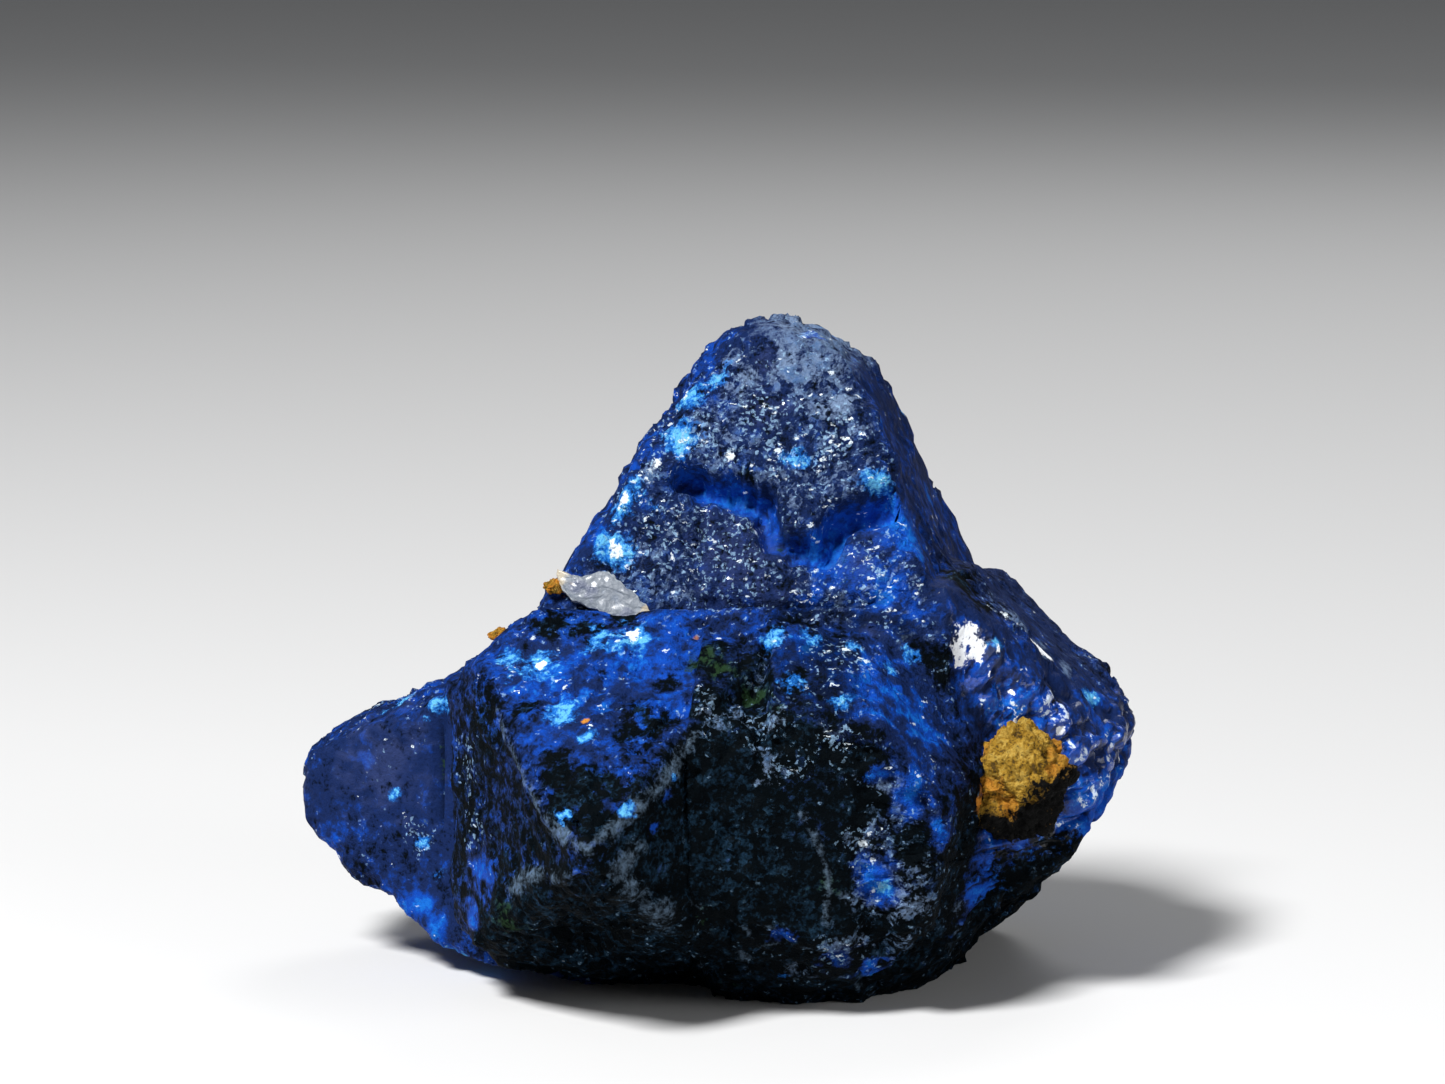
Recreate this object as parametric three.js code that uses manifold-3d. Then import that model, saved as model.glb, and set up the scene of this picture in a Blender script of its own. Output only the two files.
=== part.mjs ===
// A cumengeite crystal: a star of four-sided pyramids, grown together on the faces of one small hidden cube.
// Its top, left, right, front and back arms stand along the axes of the cube. The sixth arm is broken away, and
// the crystal rests on the flat break. A lump of limonite, a pale flake and two ochre grains cling to it.
//
// Every crystal is a set of facets. A facet is a plane, held as its outward unit normal and its distance from the
// centre of the star, so a crystal is all the space that lies behind its facets. Millimetres, +Z up.

import * as THREE from "three";
import { ConvexGeometry } from "three/addons/geometries/ConvexGeometry.js";
import { mergeVertices } from "three/addons/utils/BufferGeometryUtils.js";
import Module from "manifold-3d";

const wasm = await Module();
wasm.setup();

// ---- Driving dimensions, in millimetres and degrees, from the centre of the star ----

const TURN = -8; // the whole star is turned a little about the upright
const FLOOR = -2.4; // height of the flat break
const CUBE = 2.69; // half an edge of the hidden cube
const UNDERCUT = 35; // how far the back of each pyramid's foot leans in

const TOP_TIP = 6.78; // reach of each arm, to its blunt tip
const LEFT_TIP = 6.8;
const RIGHT_TIP = 5.2;
const BACK_TIP = 4.9;
const FRONT_TIP = 6.45;

const LUMP_AT = [3.73, -2.28, 0.7];
const LUMP_SIZE = [0.72, 0.66, 0.79]; // half its width, depth and height
const FLAKE_THICKNESS = 0.12;
const GRAIN_AT = [-3.5, -2.3, 2.55];
const SMALL_GRAIN_AT = [-2.72, -2.47, 3.28];

// ---- Facets and crystals ----

const radians = THREE.MathUtils.degToRad;
const vector = (list) => new THREE.Vector3(...list);

// The facet with this normal that passes through this point.
function facet(normal, point) {
  const n = vector(normal).normalize();
  return { n, h: n.dot(vector(point)) };
}

// A blunt four-sided pyramid. `axis` points from its foot to its tip, and `u` and `v` are the directions across.
// `half` and `slope` go -u, +u, -v, +v: the half width of the foot, and the angle between that side and the axis.
function pyramid({ axis, u, v, shift = [0, 0, 0], half, slope, foot = CUBE, tip, lean = [0, 0], back, cuts = [] }) {
  const along = vector(axis);
  const sides = [
    [u, -1],
    [u, 1],
    [v, -1],
    [v, 1],
  ];
  const facets = [];
  sides.forEach(([across, sign], i) => {
    const out = vector(across).multiplyScalar(sign);
    const edge = out.clone().multiplyScalar(half[i]).addScaledVector(along, foot).add(vector(shift));
    const tilt = radians(slope[i]);
    const under = radians(back ? back[i] : UNDERCUT);
    const side = out.clone().multiplyScalar(Math.cos(tilt)).addScaledVector(along, Math.sin(tilt));
    const rear = out.clone().multiplyScalar(Math.cos(under)).addScaledVector(along, -Math.sin(under));
    facets.push({ n: side, h: side.dot(edge) }, { n: rear, h: rear.dot(edge) });
  });
  const cap = along.clone();
  cap.addScaledVector(vector(u), Math.tan(radians(lean[0])));
  cap.addScaledVector(vector(v), Math.tan(radians(lean[1])));
  const tipPoint = along.clone().multiplyScalar(tip).add(vector(shift));
  facets.push(facet(cap.toArray(), tipPoint.toArray()));
  return facets.concat(cuts);
}

const X = [1, 0, 0];
const Y = [0, 1, 0];
const Z = [0, 0, 1];
const LEFT = [-1, 0, 0];
const FRONT = [0, -1, 0];

const topArm = pyramid({
  axis: Z, u: X, v: Y,
  half: [3.12, 2.8, 2.69, 2.75], slope: [29.5, 22.5, 25.5, 26], foot: 2.66, tip: TOP_TIP,
  cuts: [
    facet([0.75, 0, 1], [0.93, 0, 6.45]),
    facet([-1, 0, 0.15], [-3, 0, 3]),
    facet([-1, -0.3, 0.9], [-0.75, 0, 6.45]),
    facet([0.1, 0.8, 1], [0, 0.75, 6.5]),
  ],
});

const leftArm = pyramid({
  axis: LEFT, u: Y, v: Z,
  half: [2.72, 2.75, 3.2, 2.38], slope: [27, 28, 33, 22], tip: LEFT_TIP,
  cuts: [
    facet([-1, 0, 0.55], [-6.68, 0, 0.56]),
    facet([-1, 0, -0.5], [-6.68, 0, -0.35]),
    facet([-0.14, 0, -1], [-4.7, 0, -1.84]),
  ],
});

const rightArm = pyramid({
  axis: X, u: Y, v: Z,
  half: [2.5, 2.7, 2.9, 3.38], slope: [27, 30, 35, 42.5], tip: RIGHT_TIP,
  cuts: [
    facet([1, -0.5, 0.4], [4.95, -0.8, 1]),
    facet([1.49, 0, -0.87], [4.72, 0, 0]),
    facet([0.6, -0.15, -0.8], [3.66, 0, -1.22]),
    facet([-0.5, 0.3, 1], [3.0, 1.7, 3.06]),
  ],
});

const backArm = pyramid({
  axis: Y, u: X, v: Z,
  shift: [0.2, 0, 0.1],
  half: [2.69, 2.69, 2.5, 2.6], slope: [29, 28, 30, 30], tip: BACK_TIP, lean: [6, -5],
  cuts: [
    facet([0.7, 1, 0.6], [0.95, 4.55, 0.9]),
    facet([-0.8, 1, -0.7], [-1.0, 4.4, -0.8]),
  ],
});

const frontArm = pyramid({
  axis: FRONT, u: X, v: Z,
  shift: [-1.5, 0, 0.12],
  half: [2.7, 2.22, 2.24, 2.9], slope: [33, 31, 30, 33], foot: 2.75, tip: FRONT_TIP, lean: [5, -4],
  back: [45, 10, 30, 35],
  cuts: [
    facet([-0.85, 0, 1], [-3.5, -2.9, 2.5]),
    facet([-0.9, -0.1, -1], [-3.95, -2.9, -1.5]),
  ],
});

// The blunt crystal that stands beside the front arm, nearly parallel to it.
const shoulder = [
  facet([0.22, -0.66, 1], [1.8, -2.65, 2.85]),
  facet([0.86, -0.38, 0.52], [2.6, -3.3, 1.6]),
  facet([1, -0.12, -0.22], [2.86, -3.4, -0.4]),
  facet([0.1, -1, -0.12], [1.6, -4.25, 0]),
  facet([0.05, -0.75, -0.7], [1.6, -4.2, -1.05]),
  facet([0, -0.5, -1], [1.6, -3, -2.05]),
  facet([0.6, -0.35, -0.8], [2.15, -3.6, -1.45]),
  facet([-1, -0.25, 0.15], [0.15, -3, 1.5]),
  facet([0, 0, 1], [0, 0, 2.9]),
  facet([0.55, 1, 0.2], [2.9, -0.9, 1.6]),
  facet([0, 0, -1], [0, 0, -3]),
];

// The wedge of crystal that joins the shoulder to the front arm.
const wedge = [
  facet([0.3, -0.95, -0.1], [1.2, -4.25, -0.5]),
  facet([0.05, -0.72, 1], [0.2, -3.9, 2.2]),
  facet([0, -0.7, -0.8], [0.5, -4.4, -1.0]),
  facet([-1, 0, 0], [-1.2, 0, 0]),
  facet([1, 0, 0], [1.6, 0, 0]),
  facet([0, 1, 0], [0, 1, 0]),
  facet([0, 0, 1], [0, 0, 2.6]),
  facet([0, 0, -1], [0, 0, -3]),
];

// What is left of the hidden cube, and of the arm that is broken away below it.
const heart = [
  facet([-1, 0, 0], [-2.75, 0, 0]),
  facet([1, 0, 0], [2.75, 0, 0]),
  facet([0, -1, 0], [0, -2.6, 0]),
  facet([0, 1, 0], [0, 2.6, 0]),
  facet([0, 0, 1], [0, 0, 2.65]),
  facet([0, 0, -1], [0, 0, -3.05]),
  facet([-1, 0, -0.9], [-2.7, 0, -1.5]),
  facet([1, 0, -0.9], [2.5, 0, -1.6]),
  facet([0, -1, -0.9], [0, -2.6, -1.7]),
  facet([0, 1, -0.9], [0, 2.6, -1.7]),
];

const crystals = [topArm, leftArm, rightArm, backArm, frontArm, shoulder, wedge, heart];

// ---- Geometry and solids ----

// The corners of a crystal: the points where three of its facets meet and no other facet cuts them off.
function corners(facets) {
  const points = [];
  const cross = new THREE.Vector3();
  for (let i = 0; i < facets.length; i++) {
    for (let j = i + 1; j < facets.length; j++) {
      for (let k = j + 1; k < facets.length; k++) {
        const [a, b, c] = [facets[i], facets[j], facets[k]];
        const volume = cross.crossVectors(b.n, c.n).dot(a.n);
        if (Math.abs(volume) < 1e-6) continue;
        const point = new THREE.Vector3();
        point.addScaledVector(cross, a.h);
        point.addScaledVector(cross.clone().crossVectors(c.n, a.n), b.h);
        point.addScaledVector(cross.clone().crossVectors(a.n, b.n), c.h);
        point.divideScalar(volume);
        const inside = facets.every((f) => f.n.dot(point) < f.h + 1e-6);
        const fresh = points.every((p) => p.distanceTo(point) > 1e-4);
        if (inside && fresh) points.push(point);
      }
    }
  }
  return points;
}

// A closed three.js geometry as a manifold-3d solid.
function solid(geometry) {
  const bare = geometry.clone();
  bare.deleteAttribute("normal");
  bare.deleteAttribute("uv");
  const merged = mergeVertices(bare, 1e-4);
  return new wasm.Manifold(
    new wasm.Mesh({
      numProp: 3,
      vertProperties: merged.attributes.position.array,
      triVerts: new Uint32Array(merged.index.array),
    }),
  );
}

const hull = (points) => solid(new ConvexGeometry(points));

// A manifold-3d solid as a three.js geometry.
function geometryOf(body) {
  const mesh = body.getMesh();
  const geometry = new THREE.BufferGeometry();
  geometry.setAttribute("position", new THREE.BufferAttribute(new Float32Array(mesh.vertProperties), mesh.numProp));
  geometry.setIndex(new THREE.BufferAttribute(new Uint32Array(mesh.triVerts), 1));
  const flat = geometry.toNonIndexed();
  flat.computeVertexNormals();
  return flat;
}

// ---- Places on the surface ----

// A repeatable number from 0 to 1.
function chance(seed) {
  const wave = Math.sin(seed * 12.9898 + 4.1414) * 43758.5453;
  return wave - Math.floor(wave);
}

// The outermost facet that a ray from the centre of the star leaves through, and the point where it does.
function surface(direction) {
  const ray = direction.clone().normalize();
  let best = { reach: 0, n: ray };
  for (const facets of crystals) {
    let out = { reach: Infinity, n: ray };
    for (const { n, h } of facets) {
      const facing = n.dot(ray);
      if (facing > 1e-6 && h / facing < out.reach) out = { reach: h / facing, n };
    }
    if (out.reach > best.reach) best = out;
  }
  return { point: ray.multiplyScalar(best.reach), n: best.n };
}

// Points scattered over the part of the surface that lies around a direction from the centre.
function scatter({ toward, spread, count, seed }) {
  const middle = vector(toward).normalize();
  return Array.from({ length: count }, (_, i) => {
    const offset = new THREE.Vector3(
      chance(seed + i * 3.1) - 0.5,
      chance(seed + i * 3.1 + 1) - 0.5,
      chance(seed + i * 3.1 + 2) - 0.5,
    );
    return surface(middle.clone().addScaledVector(offset, 2 * spread));
  });
}

// A small rounded grain of the surface, `width` across and `depth` deep, with its middle sunk by `sink`.
function grain({ point, n }, width, depth, sink, seed, detail = 0) {
  const geometry = new THREE.IcosahedronGeometry(1, detail);
  geometry.rotateX(chance(seed) * Math.PI);
  geometry.rotateZ(chance(seed + 1) * Math.PI);
  geometry.scale(width * (0.8 + 0.4 * chance(seed + 2)) / 2, width / 2, depth / 2);
  geometry.rotateZ(chance(seed + 3) * Math.PI);
  geometry.applyQuaternion(new THREE.Quaternion().setFromUnitVectors(vector(Z), n));
  const at = point.clone().addScaledVector(n, -sink);
  geometry.translate(at.x, at.y, at.z);
  return solid(geometry);
}

// The point of a facet's plane with these two coordinates; the third is worked out. `free` is its index.
function onFacet({ n, h }, free, pair) {
  const place = [...pair];
  place.splice(free, 0, 0);
  const known = n.dot(vector(place));
  place[free] = (h - known) / n.getComponent(free);
  return vector(place);
}

// A thin raised plate on a facet, with a convex outline and sloping edges: one growth step.
function step(face, free, outline, lift) {
  const rim = outline.map((pair) => onFacet(face, free, pair));
  const middle = rim.reduce((sum, p) => sum.add(p), new THREE.Vector3()).divideScalar(rim.length);
  const top = rim.map((p) => p.clone().lerp(middle, 0.08).addScaledVector(face.n, lift));
  const bottom = rim.map((p) => p.clone().lerp(middle, -0.04).addScaledVector(face.n, -2.5 * lift));
  return hull([...top, ...bottom]);
}

// A V-shaped groove along a path on a facet.
function groove(face, free, path, width, depth) {
  const points = path.map((pair) => onFacet(face, free, pair));
  const pieces = [];
  for (let i = 0; i + 1 < points.length; i++) {
    const along = points[i + 1].clone().sub(points[i]).normalize();
    const side = along.clone().cross(face.n).multiplyScalar(width / 2);
    const ends = [
      points[i].clone().addScaledVector(along, -width / 4),
      points[i + 1].clone().addScaledVector(along, width / 4),
    ];
    const section = ends.flatMap((p) => [
      p.clone().add(side).addScaledVector(face.n, depth),
      p.clone().sub(side).addScaledVector(face.n, depth),
      p.clone().addScaledVector(side, 0.8),
      p.clone().addScaledVector(side, -0.8),
      p.clone().addScaledVector(side, 0.5).addScaledVector(face.n, -depth),
    ]);
    pieces.push(hull(section));
  }
  return wasm.Manifold.union(pieces);
}

// ---- The star ----

const [topFront, topLeft, topRight, topBack] = [topArm[4], topArm[0], topArm[2], topArm[6]];
const leftFront = leftArm[0];
const rightFront = rightArm[0];
const rightTop = rightArm[6];
const backRight = backArm[2];
const backTop = backArm[6];
const shoulderFront = shoulder[3];
const frontLower = frontArm[4];

// Growth steps. Each outline gives the two coordinates that lie across the facet.
const steps = [
  // The upper half of the top arm's front stands proud of the crack below it.
  step(topFront, 1, [[-1.55, 4.95], [-0.95, 4.78], [-0.1, 4.62], [0.25, 5.5], [-0.6, 6.2], [-0.95, 6.1]], 0.1),
  step(topFront, 1, [[-0.3, 4.68], [0.25, 4.1], [0.75, 3.98], [1.25, 4.3], [1.2, 5.4], [0.2, 6.1]], 0.12),
  step(topFront, 1, [[0.9, 4.35], [1.75, 4.65], [1.55, 5.3], [0.9, 5.9], [0.5, 5.4]], 0.07),
  step(topFront, 1, [[-2.2, 3.5], [-1.0, 3.35], [-0.25, 3.7], [-0.6, 4.35], [-1.5, 4.5], [-1.9, 4.1]], 0.09),
  step(topFront, 1, [[-0.2, 2.95], [0.7, 3.05], [0.65, 3.55], [0.1, 3.75], [-0.4, 3.4]], 0.07),
  step(topRight, 0, [[-1.6, 3.3], [-0.4, 3.2], [0.3, 3.9], [-0.3, 4.6], [-1.1, 4.4]], 0.08),
  step(topBack, 1, [[-1.6, 3.4], [0.2, 3.1], [0.9, 4.0], [0.1, 5.2], [-0.9, 5.0]], 0.09),
  step(topBack, 1, [[0.5, 3.3], [1.8, 3.2], [1.5, 4.3], [0.9, 4.6]], 0.06),
  step(topLeft, 0, [[-0.6, 3.6], [0.9, 3.5], [0.8, 4.7], [-0.2, 5.0]], 0.07),
  // Glassy steps along the top and front of the right arm.
  step(rightTop, 2, [[3.05, -1.9], [3.9, -1.6], [3.8, -0.9], [3.1, -0.7]], 0.1),
  step(rightTop, 2, [[3.5, -0.9], [4.2, -1.0], [4.3, 0.4], [3.6, 0.7]], 0.08),
  step(rightFront, 1, [[3.15, 1.3], [3.9, 1.35], [3.75, 2.0], [3.2, 2.35]], 0.12),
  step(rightFront, 1, [[3.9, 0.9], [4.6, 0.9], [4.45, 1.45], [3.95, 1.65]], 0.08),
  step(rightFront, 1, [[3.1, -1.2], [3.9, -0.8], [4.2, -0.2], [3.3, 0.1]], 0.08),
  // The worn lower side of the left arm.
  step(leftFront, 1, [[-5.4, -1.1], [-4.6, -1.6], [-4.2, -1.1], [-4.6, -0.5], [-5.2, -0.6]], 0.08),
  step(leftFront, 1, [[-6.3, -0.45], [-5.6, -0.95], [-5.5, -0.6], [-6.2, -0.15]], 0.06),
  // The front of the shoulder, and the foot of the front arm.
  step(shoulderFront, 1, [[0.9, 0.1], [1.9, 0.2], [2.1, 0.9], [1.2, 1.1]], 0.06),
  step(shoulderFront, 1, [[1.6, -0.9], [2.4, -0.8], [2.5, 0.0], [1.8, 0.0]], 0.07),
  step(frontLower, 2, [[-2.2, -3.2], [-0.9, -3.1], [-0.8, -3.7], [-1.9, -4.1]], 0.07),
  // The back arm.
  step(backTop, 2, [[-1.2, 3.0], [0.9, 2.9], [1.1, 3.8], [-0.5, 4.1]], 0.08),
  step(backRight, 0, [[3.1, -1.3], [4.1, -0.9], [4.0, 0.6], [3.2, 1.0]], 0.08),
];

// The ragged crack across the front of the top arm, and a finer one near its foot.
const cracks = [
  groove(topFront, 1, [[-1.0, 4.72], [0.08, 4.42], [0.3, 3.9], [0.98, 3.76], [1.15, 4.16], [2.05, 4.5]], 0.3, 0.24),
  groove(topFront, 1, [[-0.55, 3.05], [0.35, 3.0], [0.9, 3.1]], 0.12, 0.12),
  groove(shoulderFront, 1, [[0.3, 1.05], [1.15, 0.98]], 0.12, 0.12),
];

// Botryoidal lumps, pits and knobs: where they lie, how many there are and how large.
const lumpFields = [
  { toward: [5, -0.9, 0.9], spread: 0.32, count: 14, seed: 11, width: [0.42, 0.72], depth: 0.4, sink: 0.1, detail: 1 },
  { toward: [3.9, -1.9, -0.7], spread: 0.22, count: 8, seed: 37, width: [0.36, 0.62], depth: 0.3, sink: 0.08 },
  { toward: [4.2, 0.8, -0.9], spread: 0.4, count: 8, seed: 59, width: [0.4, 0.7], depth: 0.3, sink: 0.08 },
  { toward: [-5, -1.2, -1.4], spread: 0.24, count: 8, seed: 71, width: [0.34, 0.62], depth: 0.26, sink: 0.07 },
  { toward: [-0.3, -1.4, 5.2], spread: 0.26, count: 12, seed: 101, width: [0.3, 0.56], depth: 0.24, sink: 0.06 },
  { toward: [1.9, -4.2, -0.9], spread: 0.28, count: 10, seed: 131, width: [0.3, 0.6], depth: 0.24, sink: 0.06 },
  { toward: [-2.3, -3.6, -1.4], spread: 0.24, count: 7, seed: 149, width: [0.3, 0.6], depth: 0.24, sink: 0.06 },
  { toward: [0.2, 4.6, 0.6], spread: 0.4, count: 10, seed: 173, width: [0.36, 0.7], depth: 0.26, sink: 0.07 },
  { toward: [0.4, 1.6, 4.8], spread: 0.3, count: 8, seed: 191, width: [0.3, 0.56], depth: 0.24, sink: 0.06 },
];
const pitFields = [
  { toward: [0.1, -1.7, 4.6], spread: 0.3, count: 20, seed: 211, width: [0.22, 0.42], depth: 0.36, sink: -0.05 },
  { toward: [4.3, -1.4, 1.4], spread: 0.22, count: 8, seed: 251, width: [0.22, 0.42], depth: 0.36, sink: -0.05 },
  { toward: [-4.9, -1.4, -1.2], spread: 0.2, count: 7, seed: 271, width: [0.2, 0.4], depth: 0.36, sink: -0.05 },
  { toward: [-1.6, -5, 1.4], spread: 0.16, count: 6, seed: 281, width: [0.24, 0.42], depth: 0.36, sink: -0.05 },
  { toward: [2.0, -4.2, 0.9], spread: 0.25, count: 9, seed: 293, width: [0.22, 0.42], depth: 0.36, sink: -0.05 },
  { toward: [-0.4, 4.4, 0.4], spread: 0.4, count: 12, seed: 311, width: [0.24, 0.46], depth: 0.36, sink: -0.05 },
  { toward: [-4.6, 1.7, 0.2], spread: 0.24, count: 8, seed: 331, width: [0.22, 0.42], depth: 0.36, sink: -0.05 },
  { toward: [0.2, 1.8, 4.6], spread: 0.28, count: 10, seed: 353, width: [0.22, 0.42], depth: 0.36, sink: -0.05 },
];

function grainsOf(field) {
  return scatter(field).map((place, i) => {
    const size = THREE.MathUtils.lerp(field.width[0], field.width[1], chance(field.seed + i * 7.7));
    return grain(place, size, field.depth, field.sink, field.seed + i, field.detail);
  });
}

const knobs = [
  grain(surface(vector([2.02, -1.56, 5.04])), 0.6, 0.42, 0.08, 401, 1), // on the right edge of the top arm
  grain(surface(vector([-2.75, -2.2, 3.35])), 0.42, 0.34, 0.02, 409, 1), // at its lower left corner
];

const below = new THREE.BoxGeometry(30, 30, 10).translate(0, 0, FLOOR - 5);

let starBody = wasm.Manifold.union(crystals.map((facets) => hull(corners(facets))));
starBody = starBody.add(wasm.Manifold.union(steps));
starBody = starBody.add(wasm.Manifold.union(lumpFields.flatMap(grainsOf)));
starBody = starBody.add(wasm.Manifold.union(knobs));
starBody = starBody.subtract(wasm.Manifold.union(pitFields.flatMap(grainsOf)));
starBody = starBody.subtract(wasm.Manifold.union(cracks));
starBody = starBody.subtract(solid(below));
starBody = starBody.simplify(0.003);

// ---- What clings to it ----

// A knobbly ellipsoid: each corner of an icosahedron is moved in or out by a repeatable amount.
function nodule(at, size, detail, rough, seed) {
  const geometry = mergeVertices(
    new THREE.BufferGeometry().setAttribute(
      "position",
      new THREE.IcosahedronGeometry(1, detail).getAttribute("position"),
    ),
    1e-4,
  );
  const place = geometry.getAttribute("position");
  const corner = new THREE.Vector3();
  for (let i = 0; i < place.count; i++) {
    corner.fromBufferAttribute(place, i);
    corner.multiplyScalar(1 + rough * (chance(seed + i) - 0.6));
    place.setXYZ(i, corner.x * size[0], corner.y * size[1], corner.z * size[2]);
  }
  geometry.translate(...at);
  return solid(geometry);
}

const lumpBody = nodule(LUMP_AT, LUMP_SIZE, 4, 0.22, 5).subtract(starBody);

// The flake lies along the front of the top arm, and its pointed left end stands a little off the face.
const flakeOutline = [[-2.78, 3.62], [-2.45, 3.5], [-1.95, 3.4], [-1.45, 3.12], [-1.36, 2.9], [-1.75, 2.86], [-2.4, 3.1]];
const flakeRim = flakeOutline.map((pair) => onFacet(topFront, 1, pair));
const flakeTop = flakeRim.map((p) => p.clone().addScaledVector(topFront.n, 0.1 + FLAKE_THICKNESS));
const flakeBottom = flakeRim.map((p) => p.clone().addScaledVector(topFront.n, 0.02));
const flakeBody = hull([...flakeTop, ...flakeBottom]).subtract(starBody);

const grainBody = nodule(GRAIN_AT, [0.17, 0.14, 0.1], 1, 0.3, 21).subtract(starBody);
const smallGrainBody = nodule(SMALL_GRAIN_AT, [0.13, 0.12, 0.11], 1, 0.3, 33).subtract(starBody).subtract(flakeBody);

// ---- The named pieces ----

const finishes = {
  cumengeite: new THREE.MeshStandardMaterial({ color: 0x0b2f8a, roughness: 0.35, metalness: 0 }),
  limonite: new THREE.MeshStandardMaterial({ color: 0xa8782a, roughness: 0.9, metalness: 0 }),
  paleMineral: new THREE.MeshStandardMaterial({ color: 0xaeb4c2, roughness: 0.5, metalness: 0 }),
};

function piece(name, body, material) {
  const mesh = new THREE.Mesh(geometryOf(body), material);
  mesh.name = name;
  return mesh;
}

const star = new THREE.Group();
star.add(
  piece("cumengeite_star", starBody, finishes.cumengeite),
  piece("limonite_lump", lumpBody, finishes.limonite),
  piece("pale_flake", flakeBody, finishes.paleMineral),
  piece("ochre_grain_1", grainBody, finishes.limonite),
  piece("ochre_grain_2", smallGrainBody, finishes.limonite),
);
star.rotation.z = radians(TURN);

// The part's origin is the middle of the underside of its bounding box.
const box = new THREE.Box3().setFromObject(star, true);
const middle = box.getCenter(new THREE.Vector3());
star.position.set(-middle.x, -middle.y, -box.min.z);

const part = new THREE.Group();
part.add(star);

export default part;
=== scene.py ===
"""A cumengeite crystal: a star of deep blue pyramids with a lump of limonite and a pale flake.

The surfaces are worked out here in millimetres about the centre of the star, and carried into the
frame at the end.
"""

import math
from collections import namedtuple

import bpy
import numpy as np
from bpy.props import FloatProperty, FloatVectorProperty, IntProperty, PointerProperty
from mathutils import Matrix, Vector


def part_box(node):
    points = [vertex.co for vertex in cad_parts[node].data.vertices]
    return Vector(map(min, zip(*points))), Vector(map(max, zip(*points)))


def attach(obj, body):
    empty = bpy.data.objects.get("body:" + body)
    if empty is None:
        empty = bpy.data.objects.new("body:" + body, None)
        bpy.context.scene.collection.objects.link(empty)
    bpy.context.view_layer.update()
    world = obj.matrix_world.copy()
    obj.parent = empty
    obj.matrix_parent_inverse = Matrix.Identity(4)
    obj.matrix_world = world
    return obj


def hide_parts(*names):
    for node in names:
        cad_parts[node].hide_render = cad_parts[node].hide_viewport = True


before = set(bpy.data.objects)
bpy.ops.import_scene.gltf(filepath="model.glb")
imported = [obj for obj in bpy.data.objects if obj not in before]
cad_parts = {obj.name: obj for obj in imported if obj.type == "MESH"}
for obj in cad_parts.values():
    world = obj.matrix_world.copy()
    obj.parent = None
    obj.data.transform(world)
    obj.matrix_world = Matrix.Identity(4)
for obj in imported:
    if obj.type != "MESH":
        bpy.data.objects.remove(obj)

bl_info = {
    "name": "Cumengeite crystal",
    "version": (1, 0, 0),
    "blender": (4, 5, 0),
    "location": "3D View > Sidebar > Crystal",
    "description": "Builds the surfaces, finishes and studio of a cumengeite crystal",
    "category": "Object",
}

MM = 0.001

# ---- The star: its place in the frame, and its crystals ----

TURN = math.radians(-8)  # the star is turned a little about the upright
BREAK = -2.4  # height of the flat break that it rests on, from the star's centre
CENTRE = np.array([0.749, 0.48, -BREAK])  # the star's centre in the frame
STAR_NODE = "cumengeite_star"
LUMP_NODE = "limonite_lump"
FLAKE_NODE = "pale_flake"
GRAIN_NODES = ("ochre_grain_1", "ochre_grain_2")

X, Y, Z = np.eye(3)

# What a finish holds, each from 0 to 1: rough crust, frosted skin, clear royal blue, dark mottles
# (which on the lower faces also paint shade), glassy knobs and glassy steps.
FIELDS = ("crust", "skin", "royal", "dark", "knobs", "steps")
FINISHES = {
    "granular": {"crust": 1.0, "skin": 0.58, "royal": 0.25, "dark": 0.1},
    "frosted": {"crust": 0.3, "skin": 0.8},
    "smooth": {"crust": 0.08, "skin": 0.1, "royal": 0.15, "dark": 0.15},
    "navy": {"crust": 0.2, "royal": 0.45, "dark": 0.1},
    "black": {"crust": 0.2, "dark": 1.0},
    "blue": {"crust": 0.5, "royal": 0.55, "dark": 0.18},
    "stepped": {"steps": 1.0, "crust": 0.1, "royal": 0.95},
    "knobbly": {"knobs": 1.0, "crust": 0.1, "royal": 0.9},
    "rugged": {"crust": 0.8, "dark": 0.65, "skin": 0.25, "royal": 0.1},
    "grey": {"crust": 0.3, "dark": 0.65, "skin": 0.2, "royal": 0.25},
    "crusted": {"crust": 0.9, "dark": 0.35, "skin": 0.55, "royal": 0.15},
    "mottled": {"crust": 0.9, "dark": 0.5, "skin": 0.4},
    "indigo": {"crust": 0.4, "royal": 0.3, "dark": 0.35},
    "dusty": {"crust": 0.25, "skin": 0.4, "royal": 0.15, "dark": 0.2},
}

Crystal = namedtuple("Crystal", "normals distances finish")
CUBE = 2.69  # half an edge of the hidden cube that the pyramids stand on
UNDERCUT = 35  # how far the back of each pyramid's foot leans in


def plane(normal, point):
    """The unit normal of the plane through this point, and its distance from the centre."""
    unit = np.asarray(normal, float) / np.linalg.norm(normal)
    return unit, unit @ np.asarray(point, float)


def crystal(planes, finishes):
    """A crystal from its planes and the name of each one's finish."""
    normals = np.array([normal for normal, distance in planes])
    distances = np.array([distance for normal, distance in planes])
    finish = np.array([[FINISHES[name].get(field, 0.0) for field in FIELDS] for name in finishes])
    return Crystal(normals, distances, finish)


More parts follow.
